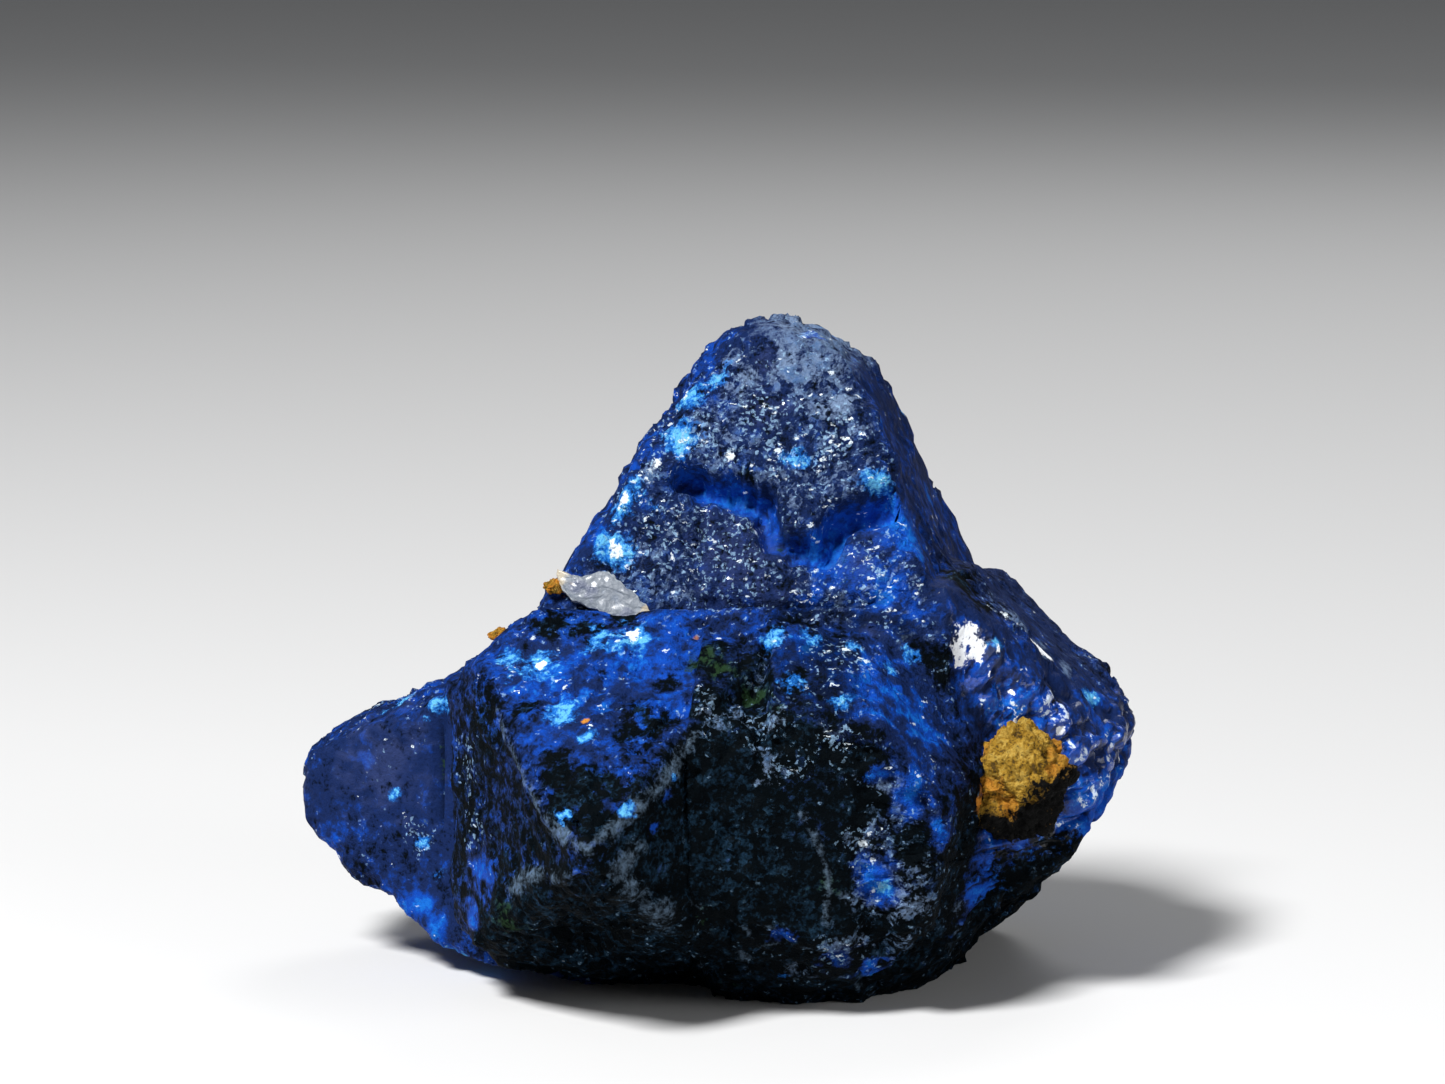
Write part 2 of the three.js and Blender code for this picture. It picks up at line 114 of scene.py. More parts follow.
def pyramid(
    axis, u, v, half, slope, tip, finish,
    foot=CUBE, shift=(0, 0, 0), lean=(0, 0), back=None, cuts=(),
):
    """A blunt four-sided pyramid on this axis.

    Half widths, slopes and finishes go -u, +u, -v, +v, then the cap's finish, then one for each
    cut. A side's normal is out * cos(slope) + axis * sin(slope), and the one behind the foot leans
    the other way.
    """
    shift = np.asarray(shift, float)
    planes = []
    names = []
    for i, out in enumerate((-u, u, -v, v)):
        edge = out * half[i] + axis * foot + shift
        tilt = math.radians(slope[i])
        under = math.radians(back[i] if back else UNDERCUT)
        planes.append(plane(out * math.cos(tilt) + axis * math.sin(tilt), edge))
        planes.append(plane(out * math.cos(under) - axis * math.sin(under), edge))
        names += [finish[i], finish[i]]
    cap = axis + u * math.tan(math.radians(lean[0])) + v * math.tan(math.radians(lean[1]))
    planes.append(plane(cap, axis * tip + shift))
    planes += [plane(*cut) for cut in cuts]
    return crystal(planes, names + list(finish[4:]))


TOP_FRONT = 4  # the place of the front side in the list of the top arm's planes

CRYSTALS = {
    "top": pyramid(
        Z, X, Y, half=(3.12, 2.8, 2.69, 2.75), slope=(29.5, 22.5, 25.5, 26), foot=2.66, tip=6.78,
        cuts=(
            ((0.75, 0, 1), (0.93, 0, 6.45)),
            ((-1, 0, 0.15), (-3, 0, 3)),
            ((-1, -0.3, 0.9), (-0.75, 0, 6.45)),
            ((0.1, 0.8, 1), (0, 0.75, 6.5)),
        ),
        finish=(
            "blue", "navy", "granular", "granular", "frosted", "frosted", "blue", "blue",
            "granular",
        ),
    ),
    "left": pyramid(
        -X, Y, Z, half=(2.72, 2.75, 3.2, 2.5), slope=(27, 28, 33, 27), tip=6.8,
        cuts=(
            ((-1, 0, 0.55), (-6.68, 0, 0.56)),
            ((-1, 0, -0.5), (-6.78, 0, -0.35)),
            ((-0.14, 0, -1), (-4.7, 0, -1.94)),
        ),
        finish=("smooth", "frosted", "blue", "blue", "blue", "frosted", "blue", "blue"),
    ),
    "right": pyramid(
        X, Y, Z, half=(2.5, 2.7, 2.9, 3.38), slope=(27, 30, 35, 42.5), tip=5.06,
        cuts=(
            ((1, -0.5, 0.4), (4.9, -0.8, 1)),
            ((1.49, 0, -0.87), (4.72, 0, 0)),
            ((0.6, -0.15, -0.8), (3.76, 0, -1.22)),
            ((-0.5, 0.3, 1), (3.0, 1.7, 3.06)),
        ),
        finish=(
            "stepped", "granular", "rugged", "dusty", "knobbly", "knobbly", "knobbly", "rugged",
            "dusty",
        ),
    ),
    "back": pyramid(
        Y, X, Z, shift=(0.2, 0, 0.1), half=(2.69, 2.69, 2.5, 2.6), slope=(29, 28, 30, 30), tip=4.9,
        lean=(6, -5),
        cuts=(((0.7, 1, 0.6), (0.95, 4.55, 0.9)), ((-0.8, 1, -0.7), (-1.0, 4.4, -0.8))),
        finish=("smooth", "blue", "rugged", "granular", "frosted", "blue", "black"),
    ),
    "front": pyramid(
        -Y, X, Z, shift=(-1.5, 0, 0.12), half=(2.7, 2.22, 2.24, 2.9), slope=(33, 31, 30, 33),
        foot=2.75, tip=6.45, lean=(5, -4), back=(45, 10, 30, 35),
        cuts=(((-0.85, 0, 1), (-3.5, -2.9, 2.5)), ((-0.9, -0.1, -1), (-3.95, -2.9, -1.5))),
        finish=("grey", "black", "rugged", "blue", "grey", "blue", "blue"),
    ),
    # The blunt crystal that stands beside the front arm.
    "shoulder": crystal(
        [
            plane((0.22, -0.66, 1), (1.8, -2.65, 2.85)),
            plane((0.86, -0.38, 0.52), (2.6, -3.3, 1.6)),
            plane((1, -0.12, -0.22), (2.86, -3.4, -0.4)),
            plane((0.1, -1, -0.12), (1.6, -4.25, 0)),
            plane((0.05, -0.75, -0.7), (1.6, -4.2, -1.05)),
            plane((0, -0.5, -1), (1.6, -3, -2.05)),
            plane((0.6, -0.35, -0.8), (2.15, -3.6, -1.45)),
            plane((-1, -0.25, 0.15), (0.15, -3, 1.5)),
            plane((0, 0, 1), (0, 0, 2.9)),
            plane((0.55, 1, 0.2), (2.9, -0.9, 1.6)),
            plane((0, 0, -1), (0, 0, -3)),
        ],
        (
            "indigo", "indigo", "rugged", "crusted", "rugged", "rugged", "rugged", "black",
            "granular", "granular", "rugged",
        ),
    ),
    # The wedge of crystal that joins the shoulder to the front arm.
    "wedge": crystal(
        [
            plane((0.3, -0.95, -0.1), (1.2, -4.25, -0.5)),
            plane((0.05, -0.72, 1), (0.2, -3.9, 2.2)),
            plane((0, -0.7, -0.8), (0.5, -4.4, -1.0)),
            plane((-1, 0, 0), (-0.5, 0, 0)),
            plane((1, 0, 0), (1.6, 0, 0)),
            plane((0, 1, 0), (0, 1, 0)),
            plane((0, 0, 1), (0, 0, 2.6)),
            plane((0, 0, -1), (0, 0, -3)),
        ],
        ("black", "mottled", "rugged", "black", "black", "rugged", "mottled", "rugged"),
    ),
    # What is left of the hidden cube, and of the arm that is broken away below it.
    "heart": crystal(
        [
            plane((-1, 0, 0), (-2.75, 0, 0)),
            plane((1, 0, 0), (2.75, 0, 0)),
            plane((0, -1, 0), (0, -2.6, 0)),
            plane((0, 1, 0), (0, 2.6, 0)),
            plane((0, 0, 1), (0, 0, 2.65)),
            plane((0, 0, -1), (0, 0, -3.05)),
            plane((-1, 0, -0.9), (-2.7, 0, -1.5)),
            plane((1, 0, -0.9), (2.5, 0, -1.6)),
            plane((0, -1, -0.9), (0, -2.6, -1.7)),
            plane((0, 1, -0.9), (0, 2.6, -1.7)),
        ],
        ["rugged"] * 10,
    ),
}

# Patches of colour on the side that faces the front, by kind. Each is how far right of the star's
# centre and above it the patch's middle is seen from the front, and its radius, in millimetres.
PATCHES = {
    "skin": (
        # top arm
        (0.25, 6.05, 0.8), (-0.45, 5.6, 0.6), (0.9, 5.5, 0.5), (-1.67, 4.5, 0.3), (1.1, 6.4, 0.3),
        (-0.5, 6.4, 0.4), (-0.8, 6.0, 0.35), (-0.3, 5.95, 0.4), (-1.0, 5.3, 0.3), (0.3, 5.1, 0.3),
        # wedge and shoulder
        (0.05, 0.53, 0.4), (-0.95, 1.15, 0.45), (-0.5, 1.25, 0.35), (-0.05, 1.2, 0.3),
        (1.1, -0.5, 0.36), (0.75, -0.6, 0.2), (1.9, -1.3, 0.6), (2.5, -1.5, 0.5), (0.9, -1.9, 0.6),
        (1.1, -1.3, 0.4), (1.6, -1.9, 0.5), (0.3, -2.2, 0.3), (-0.1, 0.6, 0.4),
        # right arm
        (3.3, 2.5, 0.5), (3.75, 2.1, 0.35), (3.0, 2.65, 0.3), (4.1, 1.85, 0.25), (5.0, 0.9, 0.2),
        # left arm
        (-5.6, 1.3, 0.4), (-4.9, 1.6, 0.35), (-6.2, 0.9, 0.3), (-4.5, 0.3, 0.3),
    ),
    "royal": (
        # top arm
        (0.63, 6.5, 0.22), (1.5, 5.15, 0.25), (-0.6, 4.25, 0.35), (1.9, 3.6, 0.7), (1.55, 3.0, 0.7),
        (0.9, 3.3, 0.6), (2.25, 4.2, 0.4), (-1.75, 5.0, 0.3), (-2.55, 3.75, 0.3), (-2.0, 4.6, 0.25),
        # front arm
        (-3.0, 1.75, 0.6), (-1.9, 1.9, 0.5), (-2.6, 1.45, 0.5), (-4.0, -0.95, 0.4),
        (-4.15, -1.6, 0.25), (-1.5, 0.2, 0.12), (-1.65, -0.25, 0.14),
        # shoulder
        (1.25, 1.6, 0.8), (0.4, 2.0, 0.4), (1.9, 1.2, 0.6), (2.3, -0.35, 0.35), (1.4, -1.1, 0.35),
        (0.8, -2.0, 0.35), (1.3, -2.2, 0.3), (1.9, 0.2, 0.4), (1.35, 0.5, 0.2), (1.3, -0.9, 0.3),
        (0.1, -1.75, 0.25),
        # left arm
        (-5.75, 0.5, 0.18), (-6.3, -0.8, 0.3), (-5.3, -1.6, 0.4), (-4.75, -1.9, 0.3),
        (-5.9, 1.35, 0.3), (-5.1, 1.65, 0.3), (-4.4, 2.0, 0.3), (-5.0, -1.55, 0.3),
        # right arm
        (3.4, 2.0, 0.25), (3.3, 1.5, 0.4), (4.6, 1.1, 0.6), (4.75, 0.3, 0.4),
    ),
    "cyan": (
        # top arm
        (-1.17, 5.6, 0.28), (-1.3, 5.0, 0.26), (-2.1, 4.17, 0.32), (-2.2, 3.5, 0.32),
        (0.3, 4.73, 0.2), (1.8, 5.55, 0.18), (1.4, 4.35, 0.22), (-2.65, 3.9, 0.2),
        (-0.8, 5.95, 0.18),
        # front
        (-1.9, 2.25, 0.3), (-2.35, 2.25, 0.22), (-3.25, 1.9, 0.32), (-2.85, 1.25, 0.25),
        (-3.6, 2.0, 0.2), (-2.5, 0.9, 0.12), (-2.85, 0.0, 0.12), (-2.0, 0.02, 0.1),
        (-1.45, 0.42, 0.06),
        # shoulder
        (0.0, 2.22, 0.18), (0.5, 2.2, 0.16), (1.1, 2.1, 0.12), (0.3, 1.6, 0.2), (0.85, 1.33, 0.16),
        (1.9, 2.05, 0.12), (1.2, -2.35, 0.14), (1.6, 1.9, 0.1), (1.5, -1.1, 0.12),
        (0.1, -2.25, 0.1),
        # left arm
        (-5.3, 1.2, 0.26), (-4.75, 1.3, 0.22), (-5.8, 1.1, 0.2), (-5.35, 0.0, 0.1),
        (-4.95, -0.65, 0.14), (-4.7, -1.1, 0.12), (-4.85, 1.75, 0.16), (-5.5, 1.55, 0.14),
        # right arm
        (4.5, 1.45, 0.16), (5.0, 0.8, 0.14), (3.1, 2.15, 0.14),
    ),
    "chalk": (
        (1.27, 6.35, 0.24), (-2.12, 4.2, 0.16), (-2.2, 3.5, 0.12), (-1.2, 5.62, 0.1),
        (-1.95, 2.28, 0.16), (-3.2, 1.92, 0.12), (-4.05, 1.75, 0.1), (1.2, -0.5, 0.14),
        (0.15, 0.28, 0.2), (-6.15, 0.9, 0.16), (3.0, 2.64, 0.14), (3.2, 2.5, 0.16),
        (3.4, 2.34, 0.16), (3.62, 2.16, 0.16), (3.85, 1.98, 0.14), (-5.4, 1.22, 0.14),
        (-5.85, 0.0, 0.07), (-1.6, 4.6, 0.18), (-0.6, 4.75, 0.12), (0.3, 5.0, 0.12),
    ),
    # dark mottles, and on the lower faces partly painted shade
    "dark": (
        (2.6, 3.0, 0.5), (-1.95, 0.95, 0.3), (-0.75, -0.1, 0.9), (-2.35, -1.65, 1.2),
        (0.0, -0.9, 0.7), (-1.6, 1.15, 0.3), (-2.2, 0.4, 0.35), (-2.6, 0.1, 0.4),
        (-2.85, 0.45, 0.2), (-2.3, -0.1, 0.3), (-3.1, 2.35, 0.25), (-1.5, 1.75, 0.3),
        (-3.3, 1.35, 0.25), (-2.3, 1.75, 0.2), (-1.9, 1.35, 0.2), (-0.95, 1.9, 0.3),
        (-0.2, 1.55, 0.2), (-0.9, 1.3, 0.3), (-0.35, 1.2, 0.3), (0.35, 0.95, 0.25), (4.0, 1.4, 0.3),
        (3.3, -0.3, 0.5), (-0.4, 4.5, 0.2), (-2.7, 2.45, 0.4), (-2.1, 2.55, 0.3), (1.1, 0.05, 0.4),
        (1.2, 0.6, 0.3), (1.9, -0.45, 0.3), (3.9, -0.9, 0.7), (3.3, -1.1, 0.7), (0.1, 0.95, 0.3),
        (-2.5, 0.35, 0.5), (-2.9, 0.7, 0.2), (-0.8, 1.2, 0.3),
    ),
    "moss": (
        (0.1, 3.6, 0.18), (1.05, 3.05, 0.18), (-3.6, -1.55, 0.3), (-1.0, 1.95, 0.28),
        (-0.65, 1.78, 0.3), (-0.3, 1.55, 0.26), (-0.05, 1.35, 0.18),
    ),
    "violet": (
        (-5.5, 0.45, 0.9), (-0.15, 6.15, 0.22), (-0.1, 5.4, 0.4), (1.35, 2.4, 0.25),
        (-3.7, 1.9, 0.15), (2.7, 3.3, 0.5), (-0.4, 3.2, 0.8), (-0.6, 3.7, 0.6), (1.2, 3.3, 0.5),
    ),
    # where pale specks gather, which are partly small grains and partly painted glints
    "speckle_and_glints": (
        # top arm
        (-1.0, 5.1, 0.5), (0.1, 4.9, 0.6), (0.9, 5.0, 0.5), (-0.3, 5.35, 0.5), (-1.6, 4.7, 0.4),
        (-1.6, 5.2, 0.3), (-2.2, 4.3, 0.35), (-2.7, 3.7, 0.35), (-1.1, 5.9, 0.3), (0.6, 6.5, 0.3),
        (-0.6, 3.6, 0.9), (-1.6, 3.6, 0.6), (0.6, 3.3, 0.5), (1.4, 3.1, 0.5), (-0.6, 2.9, 0.5),
        # front arm and wedge
        (-4.2, 0.6, 0.4), (-4.1, -0.3, 0.4), (-0.2, 1.1, 0.5), (0.2, 0.6, 0.4),
        # shoulder
        (0.8, 0.9, 0.4), (1.1, -0.45, 0.45), (0.7, -1.9, 0.4), (1.0, 1.9, 0.5), (-0.9, 1.3, 0.4),
        # left arm
        (-6.2, 0.85, 0.35), (-5.6, 1.1, 0.4), (-5.0, 1.35, 0.4), (-4.65, 1.55, 0.35),
        (-5.0, -0.6, 0.3),
    ),
    "white": (
        # painted highlights on the right arm
        (2.48, 2.15, 0.2), (2.66, 2.3, 0.2), (2.78, 2.1, 0.16), (2.55, 1.97, 0.14),
        (2.45, 2.38, 0.12), (2.62, 1.66, 0.08), (2.65, 1.4, 0.06), (3.1, 2.1, 0.08),
        (3.0, 1.75, 0.06), (3.32, 2.42, 0.12), (3.44, 2.32, 0.16), (3.57, 2.21, 0.17),
        (3.7, 2.1, 0.17), (3.83, 1.99, 0.14), (5.05, 1.0, 0.09), (4.95, 0.5, 0.09),
        (3.3, 1.05, 0.1), (4.0, 0.95, 0.08),
    ),
    "ochre": (
        (-2.55, 1.13, 0.07), (-1.05, 2.3, 0.09), (-2.9, 2.85, 0.08), (2.76, 0.2, 0.14),
        (2.7, 0.0, 0.14), (-0.2, 6.5, 0.05),
    ),
}

# The ragged crack across the top arm's front and a finer one near its foot, as (x, z) there.
CRACK = ((-1.0, 4.72), (0.08, 4.42), (0.3, 3.9), (0.98, 3.76), (1.15, 4.16), (2.05, 4.5))
FINE_CRACK = ((-0.55, 3.05), (0.35, 3.0), (0.9, 3.1))

# Pale ridges, each with its half width, partly worn and partly a painted highlight where their
# edges catch the light, and seams that are darkened with painted shade. Both are paths as they are
# seen
# from the front: right of the star's centre and above it.
RIDGES = (
    (0.1, ((-3.74, 1.31), (-3.57, 0.89), (-3.34, 0.46), (-3.03, -0.11))),
    (0.2, (
        (-3.03, -0.11), (-2.8, -0.4), (-2.5, -0.5), (-2.25, -0.35), (-2.03, -0.11), (-1.6, 0.31),
        (-1.1, 0.95),
    )),
    (0.24, ((-1.89, -0.49), (-2.12, -0.8), (-1.89, -1.06), (-1.46, -1.4))),
    (0.24, ((-2.8, -0.9), (-3.3, -0.9), (-3.5, -1.15))),
    (0.06, ((-0.6, -1.5), (-0.2, -1.92), (0.2, -1.9), (0.75, -2.0))),
    (0.12, ((0.38, -0.1), (0.6, -0.5), (0.72, -0.9), (0.7, -1.6))),
)
SEAMS = (
    ((-4.64, 1.6), (-4.7, 0.6), (-4.72, -0.4)),
    ((-0.6, 2.72), (0.4, 2.68), (1.3, 2.74)),
    ((0.0, 0.85), (0.55, 0.8), (1.1, 0.85)),
)


# The star's lattice: its rows along each axis, how they crowd to one end, and how far the middles
# of the right and the front side are moved.
STAR_ROWS = (144, 100, 144)
STAR_CROWDING = (0, 0.14, 0)
STAR_MIDDLES = {0: (0, 0.17), 4: (0.02, -0.235)}
SHARPNESS = 70  # the power that rounds the crystals' edges off; a larger one rounds them less
WEB = 0.6  # two crystals that come nearer than this are joined by a fillet

# The star's relief, in millimetres: the sizes of its cells, then its heights and depths.
PLATE_SIZE = 0.6
GRAIN_SIZE = 0.3
PIT_SIZE = 0.42
LUMP_SIZE = 0.55
BEAD_SIZE = 0.36
BLOCK_SIZE = 0.34
SWELL_HEIGHT = 0.08
STEP_HEIGHT = 0.05
FINE_HEIGHT = 0.045
PLATE_HEIGHT = 0.09
GRAIN_HEIGHT = 0.13
PIT_DEPTH = 0.1
LUMP_HEIGHT = 0.1
KNOB_HEIGHT = 0.2
FOLD_HEIGHT = 0.1
BLOCK_HEIGHT = 0.22
JOINT_DEPTH = 0.06
LEDGE_HEIGHT = 0.14  # how far the top arm's front stands out above the crack
CRACK_DEPTH = 0.5
CRACK_REACH = 0.26  # half the crack's width at the surface
FINE_CRACK_DEPTH = 0.14
FINE_CRACK_REACH = 0.1
SEAM_DEPTH = 0.16
SEAM_REACH = 0.09
SEAM_SHADE = 0.08  # how far from a seam its painted shade goes
RIDGE_HEIGHT = 0.04
HIGHEST = 0.17  # the relief stands no further off the crystals than this
FINE_ROWS = 0.17  # only rows that are nearer to each other than this hold fine relief

PATCH_SPREAD = 1.3  # a patch fades out at this many times its radius
OUTSIDE = 30  # a distance from the star's centre that no crystal reaches, in millimetres

# The small crystals: how their sizes scatter, and how far they are turned, in radians.
SIZE_SCATTER = 0.4
TURN_SCATTER = 0.12
SCATTER_SEED = 7

# The rows of the other lattices.
LUMP_ROWS = 72
GRAIN_ROWS = 28
FLAKE_ROWS = 48


# ---- Noise: repeatable functions of place ----


def chance(cell, seed):
    """A repeatable number from 0 to 1 for each row of three whole numbers: their mixed bits."""
    x, y, z = np.moveaxis(cell.astype(np.int64), -1, 0)
    mixed = (x * 73856093) ^ (y * 19349663) ^ (z * 83492791) ^ ((seed + 1) * 40503)
    for _ in range(2):
        mixed = ((mixed ^ (mixed >> 15)) * 73244475) & 0x7FFFFFFF
    return (mixed ^ (mixed >> 15)) / 0x7FFFFFFF


def ease(value, low, high):
    """0 below `low` and 1 above `high`, with a smooth rise 3t^2 - 2t^3 between."""
    part = np.clip((value - low) / (high - low), 0, 1)
    return part * part * (3 - 2 * part)


def noise(points, size, seed):
    """Gradient noise from about -1 to 1.

    Every corner of a lattice with this spacing has a random slope, and the eight nearest are
    blended with 6t^5 - 15t^4 + 10t^3.
    """
    place = points / size
    cell = np.floor(place)
    part = place - cell
    blend = part**3 * (part * (part * 6 - 15) + 10)
    total = np.zeros(len(points))
    for corner in np.ndindex(2, 2, 2):
        slope = np.stack([chance(cell + corner, seed + i) for i in range(3)], -1) * 2 - 1
        weight = np.prod(np.where(np.array(corner) == 1, blend, 1 - blend), -1)
        total += weight * np.sum(slope * (part - corner), -1)
    return 1.6 * total


def layered(points, size, seed, layers=4):
    """Layers of noise, each half as coarse and half as strong as the one before it."""
    return sum(noise(points, size / 2**i, seed + 11 * i) / 2**i for i in range(layers))


Cells = namedtuple("Cells", "near next owner tilt")


def cells(points, size, seed, square=False):
    """Cell noise: every cell of a lattice has a random spot, and a point belongs to the nearest.

    It gives the distances to the nearest spot and the next, the nearest one's random number, and
    the height at this point of a plane tilted at random through that spot. Square cells measure the
    distance by its largest part.
    """
    place = points / size
    base = np.floor(place)
    near = np.full(len(points), 9.0)
    following = near.copy()
    owner = np.zeros(len(points))
    tilt = np.zeros(len(points))
    for corner in np.ndindex(3, 3, 3):
        cell = base + corner - 1
        spot = cell + np.stack([chance(cell, seed + i) for i in range(3)], -1)
        gap = place - spot
        away = np.abs(gap).max(-1) if square else np.sqrt(np.sum(gap * gap, -1))
        closer = away < near
        lean = np.stack([chance(cell, seed + 5 + i) for i in range(3)], -1) * 2 - 1
        following = np.where(closer, near, np.minimum(following, away))
        owner = np.where(closer, chance(cell, seed + 9), owner)
        tilt = np.where(closer, np.sum(lean * gap, -1), tilt)
        near = np.minimum(near, away)
    return Cells(near, following, owner, tilt)


def dome(near, radius):
    """The height of half a ball: 1 at the spot, and 0 at this distance from it."""
    return np.sqrt(np.maximum(0, 1 - (near / radius) ** 2))


def apart(x, y, path):
    """The distance of each point (x, y) from a path of straight stretches."""
    nearest = np.full(len(x), 1e9)
    for (ax, ay), (bx, by) in zip(path, path[1:]):
        along = ((x - ax) * (bx - ax) + (y - ay) * (by - ay)) / ((bx - ax) ** 2 + (by - ay) ** 2)
        along = np.clip(along, 0, 1)
        away = np.hypot(x - ax - along * (bx - ax), y - ay - along * (by - ay))
        nearest = np.minimum(nearest, away)
    return nearest


# ---- Surfaces ----


def lattice(counts, bias=(0, 0, 0), shifts=None):
    """Directions from the centre through a lattice on a cube's six sides, and its faces.

    The rows along an axis have a parameter w from -1 to 1, crowded to one end by w - b (1 - w^2). A
    side's direction is axis + t(wu) u + t(wv) v, with t = 0.47 w / (1.35 - 0.88 |w|), which puts
    more rows near its middle. `shifts` moves that middle by s (1 - wu^2)(1 - wv^2), which leaves
    the rim where the next side joins.
    """
    keys, directions, faces = [], [], []
    start = 0
    for side in range(6):
        places = np.roll(np.arange(3), -(side % 3))
        axis, u, v = np.eye(3, dtype=int)[places]
        axis = axis * (1 if side < 3 else -1)
        rows, columns = counts[places[1]], counts[places[2]]
        grid = np.meshgrid(np.arange(rows + 1), np.arange(columns + 1), indexing="ij")
        across, up = (part.ravel() for part in grid)
        along = []
        for step, count, crowd in ((across, rows, bias[places[1]]), (up, columns, bias[places[2]])):
            w = 2 * step / count - 1
            w = w - crowd * (1 - w * w)
            along.append((2 * step - count, w, 0.47 * w / (1.35 - 0.88 * np.abs(w))))
        (key_u, wu, reach_u), (key_v, wv, reach_v) = along
        fade = (1 - wu**2) * (1 - wv**2)
        shift_u, shift_v = (shifts or {}).get(side, (0, 0))
        keys.append(axis * counts[places[0]] + key_u[:, None] * u + key_v[:, None] * v)
        to_u = (reach_u + shift_u * fade)[:, None] * u
        to_v = (reach_v + shift_v * fade)[:, None] * v
        directions.append(axis + to_u + to_v)
        corner = (across * (columns + 1) + up)[(across < rows) & (up < columns)] + start
        loop = np.stack([corner, corner + columns + 1, corner + columns + 2, corner + 1], -1)
        faces.append(loop if np.cross(u, v) @ axis > 0 else loop[:, ::-1])
        start += len(across)
    keys = np.concatenate(keys)
    _, first, same = np.unique(keys, axis=0, return_index=True, return_inverse=True)
    kept = np.concatenate(directions)[first]
    return kept / np.linalg.norm(kept, axis=1, keepdims=True), same.ravel()[np.concatenate(faces)]


def spacing(points, faces):
    """The rows' distance at each point: the mean longest side of the faces that meet there."""
    corners = points[faces]
    longest = np.linalg.norm(corners - np.roll(corners, 1, axis=1), axis=2).max(1)
    total = sum(np.bincount(faces[:, i], longest, len(points)) for i in range(4))
    return total / np.bincount(faces.ravel(), minlength=len(points))


def in_frame(points):
    """Points about the star's centre, in millimetres, as points of the frame, in metres."""
    c, s = math.cos(TURN), math.sin(TURN)
    return (points @ np.array([[c, s, 0], [-s, c, 0], [0, 0, 1]]) + CENTRE) * MM


def piece(name, points, faces, attributes, material, nodes, smooth=True):
    """A finished piece on the frame's body, whose vertices carry what its material reads."""
    mesh = bpy.data.meshes.new(name)
    mesh.from_pydata(in_frame(points).tolist(), [], faces.tolist())
    for key, values in attributes.items():
        layer = mesh.attributes.new(key, "FLOAT_VECTOR", "POINT")
        layer.data.foreach_set("vector", np.stack(values, -1).astype(np.float32).ravel())
    mesh.polygons.foreach_set("use_smooth", np.full(len(mesh.polygons), smooth))
    mesh.materials.append(material)
    mesh.update()
    made = bpy.data.objects.new(name, mesh)
    bpy.context.collection.objects.link(made)
    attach(made, "root")
    if nodes:
        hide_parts(*nodes)


# ---- The star's surface ----

FRAME_WIDTH = 20.643  # what the camera takes in at the object, in millimetres
SENSOR = 36.0  # the width of the camera's sensor, in millimetres
AIM = (-0.707, 3.571)  # where it is aimed, right of the star's centre and above it
SIGHT = math.radians(8)  # how far above the level the object is looked at from the front
TOWARD = np.array([  # from the star's centre to the camera, in the star's own axes
    -math.sin(TURN) * math.cos(SIGHT), -math.cos(TURN) * math.cos(SIGHT), math.sin(SIGHT),
])
RIGHTWARD = np.array([math.cos(TURN), -math.sin(TURN), 0])
UPWARD = np.cross(TOWARD, RIGHTWARD)

Base = namedtuple("Base", "points normals finish edge valley owner")


def star_base(directions, sharpness, web):
    """The crystals grown together, before they are roughened, and what is known of each point.

    In a direction d, the facet with normal n at distance h has the gauge g = n.d / h, and its
    crystal reaches 1 / (sum of g^p)^(1/p), which rounds the edges off more for a smaller p. The
    star reaches as far as the crystal that reaches furthest, and where the next one comes within
    `web` of it, they are joined by a fillet web / 4 deep. An edge is as near as the second nearest
    facet of the same crystal, and a valley as near as the next crystal's reach. The finishes run
    into each other further than the facets do, and those of two crystals run into each other where
    one reaches within web / 2 of the other.
    """
    reaches, shares, blends = [], [], []
    for one in CRYSTALS.values():
        gauge = np.maximum(directions @ (one.normals / one.distances[:, None]).T, 0)
        peak = gauge.max(1, keepdims=True)
        power = (gauge / peak) ** sharpness
        total = power.sum(1, keepdims=True)
        reaches.append(1 / (peak * total ** (1 / sharpness))[:, 0])
        shares.append(power / total)
        blend = (gauge / peak) ** (sharpness / 3)
        blends.append(blend / blend.sum(1, keepdims=True))
    owner = np.argmax(reaches, axis=0)
    ordered = np.sort(reaches, axis=0)
    valley = ordered[-1] - ordered[-2]
    fillet = web / 4 * np.maximum(0, 1 - valley / web) ** 2
    points = directions * (ordered[-1] + fillet)[:, None]
    normals = np.zeros_like(points)
    edge = np.zeros(len(points))
    near = [np.maximum(0, 1 - (ordered[-1] - reach) / (web / 2)) ** 2 for reach in reaches]
    finish = sum(
        weight[:, None] * (blend @ one.finish)
        for weight, blend, one in zip(near, blends, CRYSTALS.values())
    ) / sum(near)[:, None]
    for i, one in enumerate(CRYSTALS.values()):
        mine = owner == i
        normals[mine] = shares[i][mine] @ one.normals
        slack = one.distances - points[mine] @ one.normals.T
        edge[mine] = np.partition(slack, 1, axis=1)[:, 1]
    normals /= np.linalg.norm(normals, axis=1, keepdims=True)
    return Base(points, normals, finish, edge, valley, owner)


def seen_at(across, up):
    """The point of the crystals that is seen from the front at this place.

    It is the first that the line of sight meets. A line enters a crystal at the last of the planes
    that face it, and the star at the nearest of its crystals.
    """
    start = RIGHTWARD * across + UPWARD * up + TOWARD * OUTSIDE
    nearest = 1e9
    for one in CRYSTALS.values():
        facing = one.normals @ -TOWARD
        travel = (one.distances - one.normals @ start) / np.where(facing == 0, 1e-9, facing)
        enters, leaves = travel[facing < 0].max(), travel[facing > 0].min()
        if enters < leaves:
            nearest = min(nearest, enters)
    return start - TOWARD * nearest


